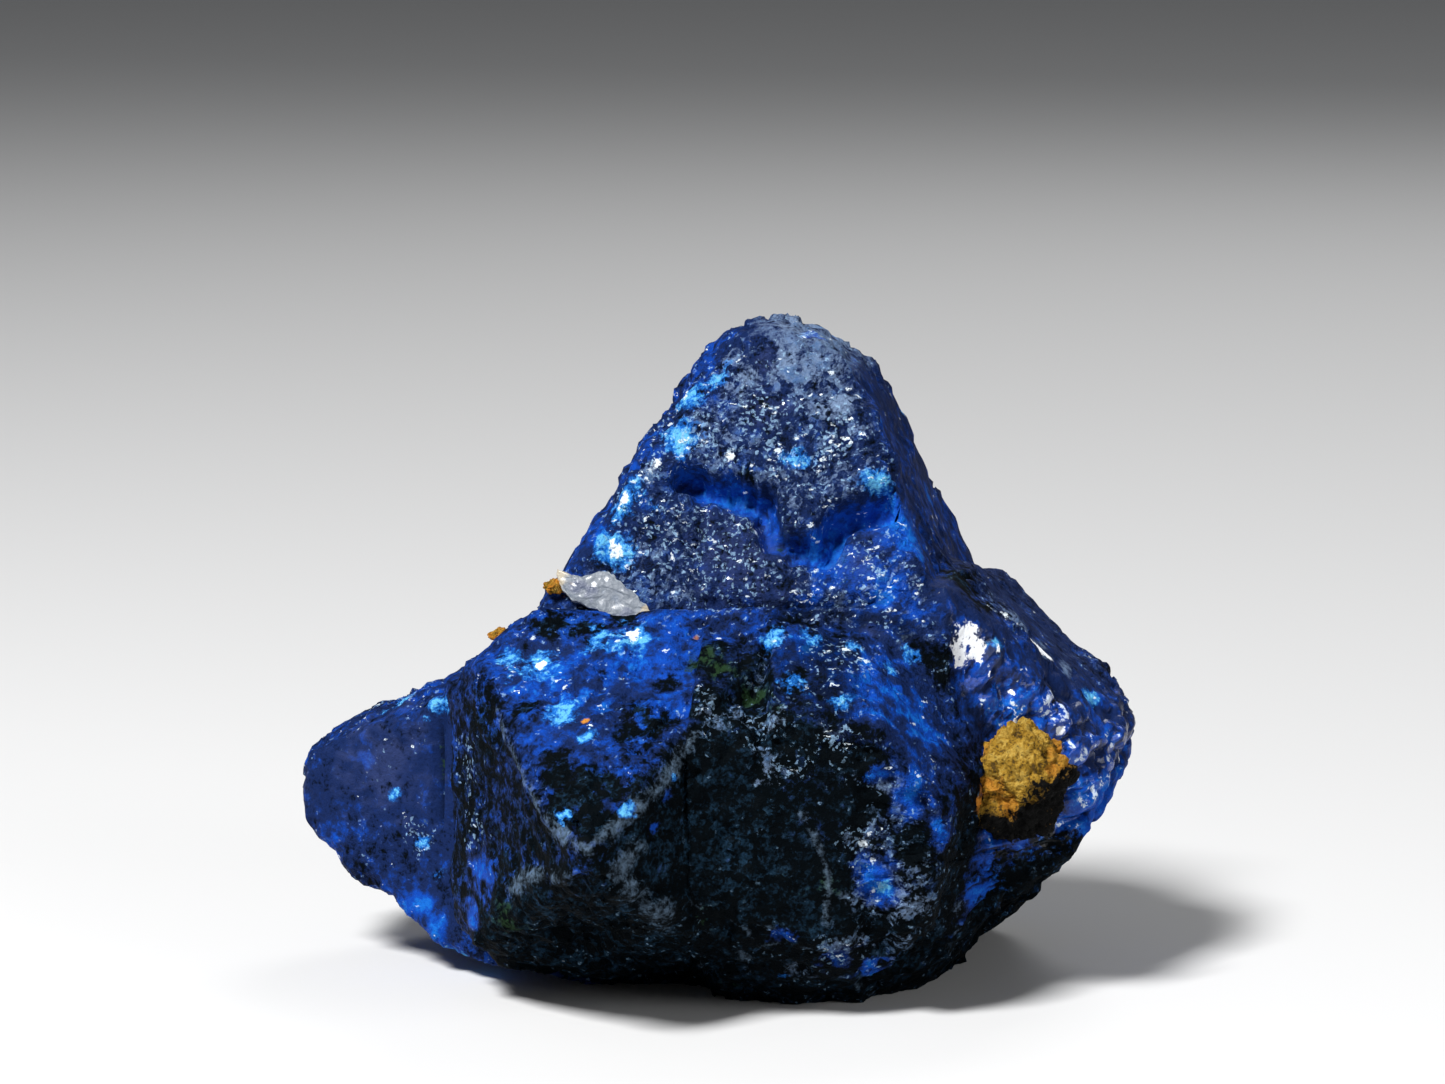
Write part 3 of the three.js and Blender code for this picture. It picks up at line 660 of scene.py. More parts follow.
def patched(points, kind, ragged):
    """How deep each point lies in the patches of this kind: 1 in a middle, and 0 at a rim.

    A patch is 1 - distance / (spread * radius), and `ragged` is the noise that frays its rim.
    """
    depth = np.zeros(len(points))
    for across, up, radius in PATCHES[kind]:
        away = np.linalg.norm(points - seen_at(across, up), axis=1) / (PATCH_SPREAD * radius)
        depth = np.maximum(depth, 1 - away + ragged * (away < 1.8))
    return np.clip(depth, 0, 1)


def near_paths(base, paths, width):
    """1 on one of these paths, as seen from the front, and 0 this far from it or behind."""
    across, up = base.points @ RIGHTWARD, base.points @ UPWARD
    away = np.min([apart(across, up, path) for path in paths], axis=0)
    return ease(base.normals @ TOWARD, 0, 0.2) * ease(width - away, 0, width)


def pale_ridges(base):
    """1 along the middle of the pale ridges and 0 beside them."""
    return np.max([near_paths(base, [path], width) for width, path in RIDGES], axis=0)


def star_relief(base, apart_by):
    """How far each point moves along its normal, and where its cracks, pits and joints lie.

    It is the sum of the forms that grew or wore there: swells, growth steps, blocky plates, tilted
    grains, pits, round lumps, glassy folds and cracks. What is finer than the rows of the lattice
    can hold is left out, and the facets under the painted white highlights are nearly flat.
    """
    points = base.points
    crust, _, _, _, knobs, steps = base.finish.T
    warped = points + 0.1 * np.stack([noise(points, 0.5, seed) for seed in (1, 2, 3)], -1)
    swell = layered(points, 1.3, 5, 3)
    fine = layered(points, 0.36, 9, 3)
    rough = ease(crust + 0.35 * swell, 0.0, 0.9)
    holds = ease(FINE_ROWS - apart_by, 0, 0.1)

    wander = 3.2 * noise(points, 1.5, 71)
    level = np.floor(wander) + ease(wander - np.floor(wander), 0, 0.18)
    plates = cells(warped, PLATE_SIZE, 21, square=True)
    grains = cells(warped, GRAIN_SIZE, 31)
    height = SWELL_HEIGHT * (0.35 + rough) * swell
    height += holds * (0.3 + rough) * (STEP_HEIGHT * level + FINE_HEIGHT * fine)
    height += holds * rough * (PLATE_HEIGHT * (plates.owner - 0.5) + GRAIN_HEIGHT * grains.tilt)

    pits = cells(warped, PIT_SIZE, 51)
    pitted = rough * (pits.owner > 0.5) * ease(0.36 - pits.near, 0, 0.14) * holds
    height -= PIT_DEPTH * pitted
    lumps = cells(warped, LUMP_SIZE, 41)
    height += LUMP_HEIGHT * rough * holds * dome(lumps.near, 0.8) * (lumps.owner > 0.75)

    plated = ease(patched(points, "white", 0), 0, 0.3)
    height *= 1 - 0.9 * plated
    beads = cells(warped * np.array([0.6, 1.0, 1.2]), BEAD_SIZE, 61)
    bead = dome(beads.near, 0.85) * (0.5 + beads.owner)
    knobs = knobs * (1 - plated)
    steps = steps * (1 - plated)
    height += (KNOB_HEIGHT * knobs + FOLD_HEIGHT * steps) * (bead - 1.0)
    bent = points * np.array([0.7, 1.0, 1.0]) + 0.05 * fine[:, None]
    blocks = cells(bent, BLOCK_SIZE, 65, square=True)
    joint = ease(blocks.next - blocks.near, 0, 0.12)
    raised = BLOCK_HEIGHT * steps * (blocks.owner - 0.5) * joint
    height += raised - JOINT_DEPTH * steps * (1 - joint)

    x, _, z = points.T
    on_front = (base.owner == 0) & (base.normals @ CRYSTALS["top"].normals[TOP_FRONT] > 0.93)
    up = z + 0.08 * fine
    above = up - np.interp(x, *zip(*CRACK))
    height += np.where(on_front, LEDGE_HEIGHT * ease(above, 0, 0.1) * ease(-above, -1.3, -0.4), 0)
    crack = on_front * ease(CRACK_REACH - apart(x, up, CRACK), 0, 0.17)
    fine_crack = on_front * ease(FINE_CRACK_REACH - apart(x, up, FINE_CRACK), 0, 0.08)
    height -= CRACK_DEPTH * crack + FINE_CRACK_DEPTH * fine_crack
    height -= SEAM_DEPTH * near_paths(base, SEAMS, SEAM_REACH)
    height += RIDGE_HEIGHT * pale_ridges(base)

    height *= 0.3 + 0.7 * ease(base.valley, 0.02, 0.35)
    height = np.where(height > 0, HIGHEST * np.tanh(height / HIGHEST), height)
    flake = np.mean([on_front_side(*place) for place in FLAKE_OUTLINE], axis=0)
    below_flake = ease(1.0 - np.linalg.norm(points - flake, axis=1), 0, 0.4)
    height -= below_flake * np.maximum(height + 0.03, 0)
    joints = steps * (1 - joint) + knobs * ease(0.9 - bead, 0, 0.9)
    return height, rough, fine, np.clip(crack + 0.5 * fine_crack, 0, 1), pitted, joints


def star_surface(relief, wear):
    """The star's points, faces and normals, and what its material reads at each point."""
    directions, faces = lattice(STAR_ROWS, STAR_CROWDING, STAR_MIDDLES)
    base = star_base(directions, SHARPNESS, WEB)
    points = base.points
    apart_by = spacing(points, faces)
    height, rough, fine, crack, pitted, joint = star_relief(base, apart_by)
    chips = layered(points, 0.5, 81, 3)
    chipped = ease(0.3 - base.edge, 0, 0.3) * (0.25 + ease(chips, -0.2, 0.6))
    chipped += ease(0.1 - base.edge, 0, 0.1) * fine * ease(FINE_ROWS - apart_by, 0, 0.1)
    height = relief * height - wear / MM * 1.8 * chipped
    moved = points + base.normals * height[:, None]
    moved[:, 2] = np.maximum(moved[:, 2], BREAK)

    _, skin, royal, dark, knobs, steps = base.finish.T
    behind = ease(-base.normals @ TOWARD, -0.25, 0.35)
    shine = np.clip(knobs + steps, 0, 1)
    shine = shine * ease(base.normals[:, 2], -0.4, 0.2) * ease(points[:, 2], -0.9, 0)
    holds = ease(0.25 - apart_by, 0, 0.12)
    ragged = holds * layered(points, 0.4, 91, 4)
    torn = 0.4 * ragged + 0.45 * holds * layered(points, 0.17, 93, 2)
    cloud = layered(points, 1.4, 95, 3)
    found = {
        kind: patched(points, kind, 0.15 * ragged if kind == "white" else torn)
        for kind in PATCHES
    }
    ridge_wear_and_highlight = pale_ridges(base) * ease(torn + 0.8, 0, 0.9)
    seam = near_paths(base, SEAMS, SEAM_SHADE)
    # Painted shade: darker in the valleys between crystals, in the crack and the pits, and along
    # the seams.
    hollow_shade = ease(0.2 - base.valley + 0.15 * torn, 0, 0.25) + 0.15 * crack + 0.5 * pitted + seam
    hollow_shade = np.clip(hollow_shade, 0, 1) * ease(points[:, 2] - BREAK, -0.2, 0.2)
    # Pale edges and ridges: partly wear, and partly a painted highlight where the edges catch the
    # light.
    rim = np.maximum(0.6 * ease(0.08 - base.edge, 0, 0.08) * ease(ragged, 0, 0.6), 0.85 * ridge_wear_and_highlight)
    # Painted shade: the faces darken towards the bottom, through the dark tone.
    low = ease(-points[:, 2], -0.6, 1.6)
    calm = 1 - crack
    blue = np.maximum(royal + 0.4 * cloud * (royal + behind), 1.3 * found["royal"])
    mottled = dark + 0.3 * cloud * dark + 0.25 * low + found["dark"] - found["royal"]
    # More pale specks, partly painted glints, on the rough faces, most on those turned away from
    # the front.
    speckled = 0.3 * rough + 0.6 * rough * behind * ease(ragged, 0, 0.8)
    reads = {
        "tone": (
            np.clip(blue + 0.6 * crack, 0, 1.4),
            np.clip(mottled - crack, 0, 1),
            np.maximum(found["violet"], behind * 0.5 * ease(-cloud, 0.3, 0.9)),
        ),
        "powder": (
            calm * np.maximum(found["cyan"], 0.7 * behind * ease(cloud + 0.5 * ragged, 0.35, 1.0)),
            calm * np.maximum(found["chalk"], 0.7 * behind * ease(ragged - 0.4 * cloud, 0.6, 1.1)),
            calm * np.clip(np.maximum(skin + 0.3 * cloud * skin, found["skin"]), 0, 1),
        ),
        "finish": (rough * calm, shine, rim),
        # Moss and ochre traces, and the painted shade in the hollows.
        "traces_and_shade": (
            np.maximum(found["moss"], 0.8 * hollow_shade * ease(cloud, 0.2, 0.8)),
            found["ochre"],
            hollow_shade,
        ),
        # Pale specks and painted glints, the painted white highlights, and the joints between
        # blocks.
        "marks_and_highlights": (
            calm * np.maximum(found["speckle_and_glints"], speckled),
            found["white"],
            ease(joint, 0, 1),
        ),
    }
    return moved, faces, base.normals, reads


def small_pyramids(points, normals, share, count, size, seed):
    """Crystals with two tips, strewn over a surface and half sunk in it, along the star's axes.

    One is the octahedron |x| + |y| + |z| = 1, scaled at random along each axis and turned a little.
    `share` says how likely each point is to carry one.
    """
    draw = np.random.default_rng(seed)
    at = draw.choice(len(points), count, p=share / share.sum())
    tips = np.array([X, -X, Y, -Y, Z, -Z])
    sides = np.array([(i, 2 + j, 4 + k) if (i + j + k) % 2 == 0 else (2 + j, i, 4 + k)
                      for i in (0, 1) for j in (0, 1) for k in (0, 1)])
    scale = size * draw.lognormal(0, SIZE_SCATTER, (count, 1)) * draw.uniform(0.6, 1.2, (count, 3))
    spin = draw.normal(0, TURN_SCATTER, (count, 3))
    corners = tips[None] * scale[:, None]
    corners = corners + np.cross(spin[:, None], corners)
    middle = points[at] - normals[at] * 0.5 * scale.mean(1, keepdims=True)
    faces = sides[None] + 6 * np.arange(count)[:, None, None]
    return (corners + middle[:, None]).reshape(-1, 3), faces.reshape(-1, 3), at


# ---- What clings to the star ----


def middle_of(node):
    """A solid's middle, from the star's centre, and its half sizes, in millimetres."""
    low, high = (np.array(corner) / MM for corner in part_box(node))
    c, s = math.cos(TURN), math.sin(TURN)
    middle = ((low + high) / 2 - CENTRE) @ np.array([[c, -s, 0], [s, c, 0], [0, 0, 1]])
    return middle, (high - low) / 2


def nodule(node, rows, rough, seed):
    """A knobbly lump in place of a solid.

    Along each direction d it reaches 1 / |d / half|, which is an ellipsoid, roughened by layered
    noise, round beads and tilted shards.
    """
    directions, faces = lattice((rows, rows, rows))
    middle, half = middle_of(node)
    reach = 1 / np.linalg.norm(directions / half, axis=1)
    ball = directions * reach[:, None]
    size = half.mean()
    swell = layered(ball, 0.9 * size, seed, 4)
    beads = cells(ball + 0.05 * size * swell[:, None], 0.34 * size, seed + 3)
    bead = dome(beads.near, 0.85) * (0.4 + beads.owner)
    shards = cells(ball, 0.45 * size, seed + 5)
    reach = 0.2 * swell + 0.12 * (bead - 0.5) + 0.1 * shards.tilt
    reach += 0.07 * layered(ball, 0.2 * size, seed + 7, 3)
    ball = ball * (0.96 + rough * reach)[:, None]
    return ball + middle, faces, ball / half, swell


# The pale flake's outline as it is seen from the front: right of the star's centre and above it.
FLAKE_OUTLINE = (
    (-2.98, 3.15), (-2.8, 3.09), (-2.63, 3.04), (-2.33, 3.11), (-2.16, 2.96), (-2.0, 2.89),
    (-1.79, 2.71), (-1.66, 2.53), (-1.74, 2.48), (-2.16, 2.51), (-2.41, 2.59), (-2.59, 2.67),
    (-2.8, 2.76), (-2.93, 2.94),
)
FLAKE_HEIGHT = 0.07  # how far the flake's face and back stand off its middle
FLAKE_SEAT = 0.1  # how far its middle stands off the facet below it


def on_front_side(across, up):
    """The point of the top arm's front side that is seen from the front at this place."""
    normal = CRYSTALS["top"].normals[TOP_FRONT]
    start = RIGHTWARD * across + UPWARD * up
    travel = (CRYSTALS["top"].distances[TOP_FRONT] - normal @ start) / (normal @ TOWARD)
    return start + TOWARD * travel


def flake_surface():
    """The flake: in its own plane the direction (a, b, c) goes to R s^0.5 across and T c^0.25 up.

    s is the part of the direction that lies in the plane, R the outline's radius that way and T the
    thickness.
    """
    normal = CRYSTALS["top"].normals[TOP_FRONT]
    rim = np.array([on_front_side(*place) for place in FLAKE_OUTLINE])
    middle = rim.mean(0)
    along = rim[7] - rim[0]
    along /= np.linalg.norm(along)
    over = np.cross(normal, along)
    angles = np.arctan2((rim - middle) @ over, (rim - middle) @ along)
    radii = np.linalg.norm(rim - middle, axis=1)
    order = np.argsort(angles)

    directions, faces = lattice((FLAKE_ROWS, FLAKE_ROWS, FLAKE_ROWS))
    a, b, c = directions.T
    angle = np.arctan2(b, a)
    share = np.hypot(a, b)
    across = np.interp(angle, angles[order], radii[order], period=2 * math.pi) * share**0.5
    out = np.cos(angle)[:, None] * along + np.sin(angle)[:, None] * over
    flat = middle + across[:, None] * out
    wave = layered(flat, 0.45, 401, 4)
    level = np.floor(3 * noise(flat, 0.7, 411)) / 3
    rise = FLAKE_HEIGHT * np.sign(c) * np.abs(c) ** 0.25 * (1 + 0.2 * wave + 0.4 * level)
    rise += 0.01 * noise(flat, 0.12, 431) * np.abs(c) ** 0.25
    fray = 0.05 * layered(flat, 0.2, 421, 3) * share**3
    place = flat + normal * (rise + FLAKE_SEAT)[:, None] + over * fray[:, None]
    ends = np.abs((flat - middle) @ along) / radii.max()
    reads = {
        "tone": (
            ease(share, 0.75, 1.0),
            ease(wave + 0.3 * a, -0.1, 0.6),
            ease(ends + 0.3 * wave, 0.5, 1.0),
        ),
    }
    return place, faces, reads


# ---- Materials ----


class Value:
    """One output of a node. A sum or product of it adds the Math node that works it out."""

    def __init__(self, tree, socket):
        self.tree = tree
        self.socket = socket

    def combined(self, operation, first, second):
        """The Math node of one sum or product."""
        return self.tree.node("ShaderNodeMath", {"operation": operation}, {0: first, 1: second})

    def __add__(self, other):
        return self.combined("ADD", self, other)

    def __sub__(self, other):
        return self.combined("SUBTRACT", self, other)

    def __rsub__(self, other):
        return self.combined("SUBTRACT", other, self)

    def __mul__(self, other):
        return self.combined("MULTIPLY", self, other)

    def __neg__(self):
        return self * -1

    __radd__ = __add__
    __rmul__ = __mul__


class Tree:
    """The nodes of one material, which reads its place on the object in millimetres."""

    def __init__(self, name):
        self.material = bpy.data.materials.new(name)
        self.material.use_nodes = True
        self.nodes = self.material.node_tree.nodes
        self.links = self.material.node_tree.links
        self.nodes.clear()
        place = self.node("ShaderNodeTexCoord", output=3)
        self.place = self.vector("SCALE", place, scale=1 / MM)
        given = {"Vector": self.place, "Scale": 9.0, "Detail": 2.0}
        sway = self.node("ShaderNodeTexNoise", None, given, 1)
        sway = self.vector("SUBTRACT", sway, (0.5, 0.5, 0.5))
        self.swayed = self.vector("ADD", self.place, self.vector("SCALE", sway, scale=0.12))

    def node(self, kind, settings=None, inputs=None, output=0):
        """Adds a node, gives its sockets their values or links, and returns one output."""
        made = self.nodes.new(kind)
        for key, setting in (settings or {}).items():
            setattr(made, key, setting)
        for key, value in (inputs or {}).items():
            if isinstance(value, Value):
                self.links.new(value.socket, made.inputs[key])
            else:
                made.inputs[key].default_value = value
        return Value(self, made.outputs[output]) if made.outputs else None

    def vector(self, operation, first, second=None, scale=None, output=0):
        """One step of vector arithmetic."""
        given = {0: first, 1: second, 3: scale}
        given = {key: value for key, value in given.items() if value is not None}
        return self.node("ShaderNodeVectorMath", {"operation": operation}, given, output)

    def mix(self, first, second, factor):
        """One colour turned into another by this factor."""
        given = {0: factor, 6: first, 7: second}
        return self.node("ShaderNodeMix", {"data_type": "RGBA"}, given, 2)

    def rise(self, value, low, high):
        """0 below `low` and 1 above `high`, with a smooth rise between."""
        given = {0: value, 1: low, 2: high}
        return self.node("ShaderNodeMapRange", {"interpolation_type": "SMOOTHSTEP"}, given)

    def grain(self, per_mm, layers):
        """Layered noise from about -0.5 to 0.5, with this many swells to a millimetre."""
        given = {"Vector": self.place, "Scale": per_mm, "Detail": layers, "Roughness": 0.6}
        return self.node("ShaderNodeTexNoise", None, given) - 0.5

    def splinters(self, per_mm):
        """The height of small flat faces tilted at random, this many to a millimetre."""
        given = {"Vector": self.place, "Scale": per_mm}
        middle = self.node("ShaderNodeTexVoronoi", None, given, 2)
        tilt = self.node("ShaderNodeTexVoronoi", None, given, 1)
        tilt = self.vector("SUBTRACT", tilt, (0.5, 0.5, 0.5))
        offset = self.vector("SUBTRACT", self.place, middle)
        return self.vector("DOT_PRODUCT", offset, tilt, output=1) * per_mm

    def scales(self, per_mm, stretch=(1, 1, 1)):
        """A random number from 0 to 1 for each small ragged cell, this many to a millimetre."""
        place = self.vector("MULTIPLY", self.swayed, stretch)
        number = self.node("ShaderNodeTexVoronoi", None, {"Vector": place, "Scale": per_mm}, 1)
        return self.vector("DOT_PRODUCT", number, (1, 0, 0), output=1)

    def reads(self, name):
        """The three numbers of one vector that the mesh carries."""
        carried = self.node("ShaderNodeAttribute", {"attribute_name": name}, output=1)
        return [self.vector("DOT_PRODUCT", carried, tuple(axis), output=1) for axis in np.eye(3)]

    def bump(self, height, depth, below=None):
        """A normal tilted by a height, in units of `depth` metres, over the one below it."""
        given = {"Height": height, "Distance": depth}
        if below:
            given["Normal"] = below
        return self.node("ShaderNodeBump", None, given)

    def surface(self, colour, roughness, normal, coat=0.0, **constants):
        """The finished surface: what varies over it, and the constants of the shader itself."""
        given = {
            "Base Color": colour, "Roughness": roughness, "Normal": normal, "Coat Weight": coat,
        }
        given.update({key.replace("_", " "): value for key, value in constants.items()})
        shader = self.node("ShaderNodeBsdfPrincipled", None, given)
        self.node("ShaderNodeOutputMaterial", None, {"Surface": shader})
        return self.material


def rgb(colour):
    """A colour as a node's socket takes it."""
    return (*colour, 1.0)


def crystal_material(look):
    """Deep blue crystal under a worn, frosted skin, with powdery cyan and chalky patches, and
    painted shade, glints and highlights.
    """
    tree = Tree("cumengeite")
    royal, dark, violet = tree.reads("tone")
    cyan, chalk, skin = tree.reads("powder")
    rough, glossy, rim = tree.reads("finish")
    moss, ochre, hollow_shade = tree.reads("traces_and_shade")
    speckle_and_glints, white, joint = tree.reads("marks_and_highlights")
    cloud = tree.grain(1.3, 3)
    grit = tree.grain(5.0, 5)
    dust = tree.grain(17.0, 4)
    coarse, fine = tree.scales(9.0), tree.scales(24.0)
    facet = (coarse - 0.5) * 0.6 + (fine - 0.5) * 0.4
    relief = grit * 1.0 + dust * 0.7

    clear = tree.rise(royal + grit * 2.4 + cloud * 1.4 + facet * 0.5 - joint * 0.9, 0.3, 1.1)
    colour = tree.mix(rgb(look.body), rgb(look.royal), clear)
    bright = tree.rise(royal + grit * 2.0 + dust * 1.4 + facet * 0.7 - joint, 0.9, 1.55)
    colour = tree.mix(colour, rgb(look.bright), bright * 0.85)
    colour = tree.mix(colour, rgb(look.violet), tree.rise(violet + grit * 0.6, 0.1, 1.1) * 0.6)
    # Dark mottles and pits, darker in the low spots of the fine relief, with the painted shade of
    # the lower faces that the dark tone carries.
    shade = dark + rough * 0.25 - relief * 1.8 - cloud * 0.7 - facet * 0.4 - royal * 0.35
    shade = tree.rise(shade, 0.2, 0.75)
    murk = tree.rise(relief + cloud * 0.4 + facet * 0.5, -0.05, 0.42)
    murk = tree.mix(rgb(look.deep), rgb(look.murk), murk)
    colour = tree.mix(colour, murk, shade)
    frost = skin + relief * (skin * 1.8 + 0.5) + facet * rough
    frost = tree.rise(frost - dark * 0.4 - violet * 0.7 - royal * 0.4, 0.3, 1.0)
    thin = tree.rise(cloud * 1.5 + grit * 1.8 + dust, -0.1, 0.45)
    haze = tree.mix(rgb(look.skin), rgb(look.haze), thin)
    colour = tree.mix(colour, haze, frost * 0.85)
    # Painted shade in the valleys, the crack, the pits and the seams.
    colour = tree.mix(colour, rgb(look.deep), tree.rise(hollow_shade - dark * 0.4, 0.0, 1.0) * 0.7)
    green = tree.rise(moss + grit * 2.0 + dust * 1.6 + facet * 0.6, 0.5, 1.0)
    colour = tree.mix(colour, rgb(look.moss), green * 0.85)
    # Pale edges and ridges: partly wear, and partly a painted highlight where the edges catch the
    # light.
    worn = tree.rise(rim + dust * 1.6 + grit * 1.6 + facet * 0.4, 0.3, 1.3)
    colour = tree.mix(colour, rgb(look.worn), worn * 0.6)

    near = tree.rise(cyan, 0.0, 0.2)
    halo = tree.rise(cyan + relief * 1.6 + facet * 0.5, 0.1, 0.6) * near
    colour = tree.mix(colour, rgb(look.bright), halo * 0.85)
    powder = tree.rise(cyan * 1.1 + relief * 2.4 + dust * 0.8 + facet * 0.8, 0.45, 1.1) * near
    colour = tree.mix(colour, rgb(look.cyan), powder * 0.85)
    chalky = tree.rise(chalk * 1.2 + cyan * 0.3 + relief * 1.6 + facet * 0.6, 0.75, 1.05)
    chalky = chalky * tree.rise(chalk + near, 0.0, 0.2)
    colour = tree.mix(colour, rgb(look.chalk), chalky)
    # Pale specks: partly small pale grains and partly painted glints on tiny facets.
    speck_and_glint = tree.rise(fine + speckle_and_glints * 0.3 + grit * 0.5 - dark * 0.06, 1.0, 1.04)
    speck_and_glint = speck_and_glint * tree.rise(dust + speckle_and_glints * 0.15, -0.05, 0.1)
    colour = tree.mix(colour, rgb(look.pale), speck_and_glint * (0.35 + coarse * 0.4) * (1 - dark * 0.5))
    # Painted glints: short bright dashes where small growth steps catch the light, and painted
    # gleams on the glossy knobs and steps. The same places are made glossier.
    dashes = tree.scales(11.0, (1, 1, 2.5))
    painted_dash = tree.rise(dashes + speckle_and_glints * 0.1 + grit * 0.35 - dark * 0.08, 1.0, 1.03)
    painted_dash = painted_dash * tree.rise(dust, -0.1, 0.0)
    painted_gleam = glossy * 0.55 + grit * 1.6 + cloud * 0.5 + facet * 0.4 - joint * 0.5
    painted_gleam = tree.rise(painted_gleam, 0.56, 0.72)
    painted_glint = tree.rise(painted_dash + painted_gleam, 0.0, 1.0)
    colour = tree.mix(colour, rgb(look.chalk), painted_glint * 0.75)
    # Painted highlights: the white plate and the small white glints on the right arm, where its
    # flat glassy facets reflect the light.
    plate_highlight = tree.rise(white * 1.2 + grit * 1.2 + dust * 0.8 + facet * 0.4, 0.35, 0.55)
    plate_highlight = plate_highlight * tree.rise(white, 0.0, 0.1)
    colour = tree.mix(colour, rgb(look.white), plate_highlight)
    colour = tree.mix(colour, rgb(look.ochre), tree.rise(ochre + grit * 0.8, 0.3, 0.7))

    powdery = tree.rise(powder + chalky, 0.0, 1.0)
    roughness = 0.5 + frost * 0.12 + shade * 0.2 + dust * 0.25
    roughness = roughness - glossy * 0.3 - painted_glint * 0.2 + powdery * 0.2
    coat = tree.rise(glossy + painted_glint + facet * 0.4 - powdery, 0.2, 1.0) * 0.9
    normal = tree.bump(tree.splinters(4.5) * rough, 0.05 * MM)
    normal = tree.bump(tree.splinters(12.0) * (0.15 + rough), 0.022 * MM, normal)
    calm = (1 - shade * 0.5) * (1 - glossy * 0.5)
    normal = tree.bump(relief * (0.4 + rough + powdery * 0.4) * calm, 0.07 * MM, normal)
    return tree.surface(
        colour, roughness, normal, coat,
        IOR=1.5, Specular_IOR_Level=0.03, Coat_Roughness=0.1, Coat_IOR=1.35,
    )


def limonite_material(look):
    """Earthy ochre over black, with orange spots and dark pores."""
    tree = Tree("limonite")
    black, orange, _ = tree.reads("tone")
    grit = tree.grain(6.0, 5)
    dust = tree.grain(20.0, 4)
    colour = tree.mix(rgb(look.ochre), rgb(look.gold), tree.rise(grit * 1.4 + dust, -0.1, 0.3))
    colour = tree.mix(colour, rgb(look.orange), tree.rise(orange + grit * 1.2, 0.35, 0.9) * 0.8)
    pores = tree.rise(-(grit * 1.4 + dust * 1.4), 0.02, 0.3)
    colour = tree.mix(colour, rgb(look.brown), pores * 0.9)
    # Black oxide, which on the lower side also stands for painted shade.
    blacker = tree.rise(black + grit * 2.4 + dust * 1.5, 0.4, 0.65)
    colour = tree.mix(colour, rgb(look.black), blacker)
    colour = tree.mix(colour, rgb(look.grey), tree.rise(black * 0.5 + dust * 1.6, 0.75, 1.1) * 0.4)
    normal = tree.bump(grit + dust * 0.6, 0.09 * MM)
    normal = tree.bump(tree.splinters(14.0), 0.02 * MM, normal)
    return tree.surface(colour, 0.85 + dust * 0.2, normal, IOR=1.5, Specular_IOR_Level=0.1)


def flake_material(look):
    """A pearly, greyish white plate, whiter along its rim and stained at its ends."""
    tree = Tree("pale_mineral")
    rim, lilac, stain = tree.reads("tone")
    grit = tree.grain(6.0, 4)
    dust = tree.grain(18.0, 4)
    colour = tree.mix(rgb(look.pearl), rgb(look.lilac), tree.rise(lilac + grit * 1.2, 0.3, 0.9))
    whiter = tree.rise(rim + dust * 1.4 + grit * 0.6, 0.5, 1.0)
    colour = tree.mix(colour, rgb(look.white), whiter * 0.8)
    colour = tree.mix(colour, rgb(look.shade), tree.rise(-(grit + dust), 0.05, 0.3) * 0.6)
    colour = tree.mix(colour, rgb(look.stain), tree.rise(stain + grit * 1.1, 0.45, 0.9) * 0.8)
    normal = tree.bump(grit * 0.7 + dust * 0.5, 0.04 * MM)
    coat = tree.rise(0.5 + grit, 0.2, 0.8) * 0.35
    return tree.surface(colour, 0.45 + dust * 0.3, normal, coat, IOR=1.5, Coat_Roughness=0.15)


# ---- Settings ----


def tint(name, description, default):
    """A colour that a user may change."""
    return FloatVectorProperty(name=name, description=description, default=default, subtype="COLOR")


class StarSettings(bpy.types.PropertyGroup):
    """Sizes and colours of the blue crystals."""

    relief: FloatProperty(
        name="Relief", description="Height of the worn relief, as a share", default=1.0, min=0.0,
    )
    wear: FloatProperty(
        name="Edge wear", description="Depth of the chips along the edges", default=0.04 * MM,
        min=0.0, unit="LENGTH",
    )
    small_count: IntProperty(
        name="Small crystals", description="How many cling to the star", default=3500, min=1,
    )
    small_size: FloatProperty(
        name="Small crystal size", description="Half the length of a small crystal",
        default=0.035 * MM, unit="LENGTH",
    )
    body: tint("Body", "Colour of the clean crystal", (0.006, 0.016, 0.07))
    royal: tint("Royal", "Colour where light passes through", (0.004, 0.05, 0.34))
    bright: tint("Bright", "Colour of the brightest blue spots", (0.007, 0.125, 0.5))
    # Deep also colours the painted shade in the hollows.
    deep: tint("Deep", "Colour of the darkest faces", (0.0004, 0.0015, 0.0025))
    skin: tint("Skin", "Colour of the frosted skin", (0.16, 0.23, 0.36))
    murk: tint("Murk", "Colour of the mottles on the darkest faces", (0.008, 0.026, 0.05))
    violet: tint("Violet", "Colour of the violet bloom", (0.03, 0.045, 0.13))
    cyan: tint("Cyan", "Colour of the powdery patches", (0.13, 0.47, 0.74))
    haze: tint("Haze", "Colour of the thinner skin", (0.06, 0.12, 0.24))
    # Worn colours the pale edges and ridges, which are partly a painted highlight.
    worn: tint("Worn", "Colour of the worn ridges", (0.12, 0.18, 0.26))
    # Pale colours the specks, which are partly painted glints.
    pale: tint("Pale", "Colour of the small specks", (0.26, 0.42, 0.6))
    # Chalk also colours the painted glints.
    chalk: tint("Chalk", "Colour of the chalky spots", (0.75, 0.84, 0.9))
    # White colours the painted highlights on the right arm.
    white: tint("White", "Colour of the white plates", (0.9, 0.93, 0.97))
    moss: tint("Moss", "Colour of the green crust", (0.014, 0.035, 0.014))
    ochre: tint("Ochre", "Colour of the ochre specks", (0.5, 0.2, 0.03))


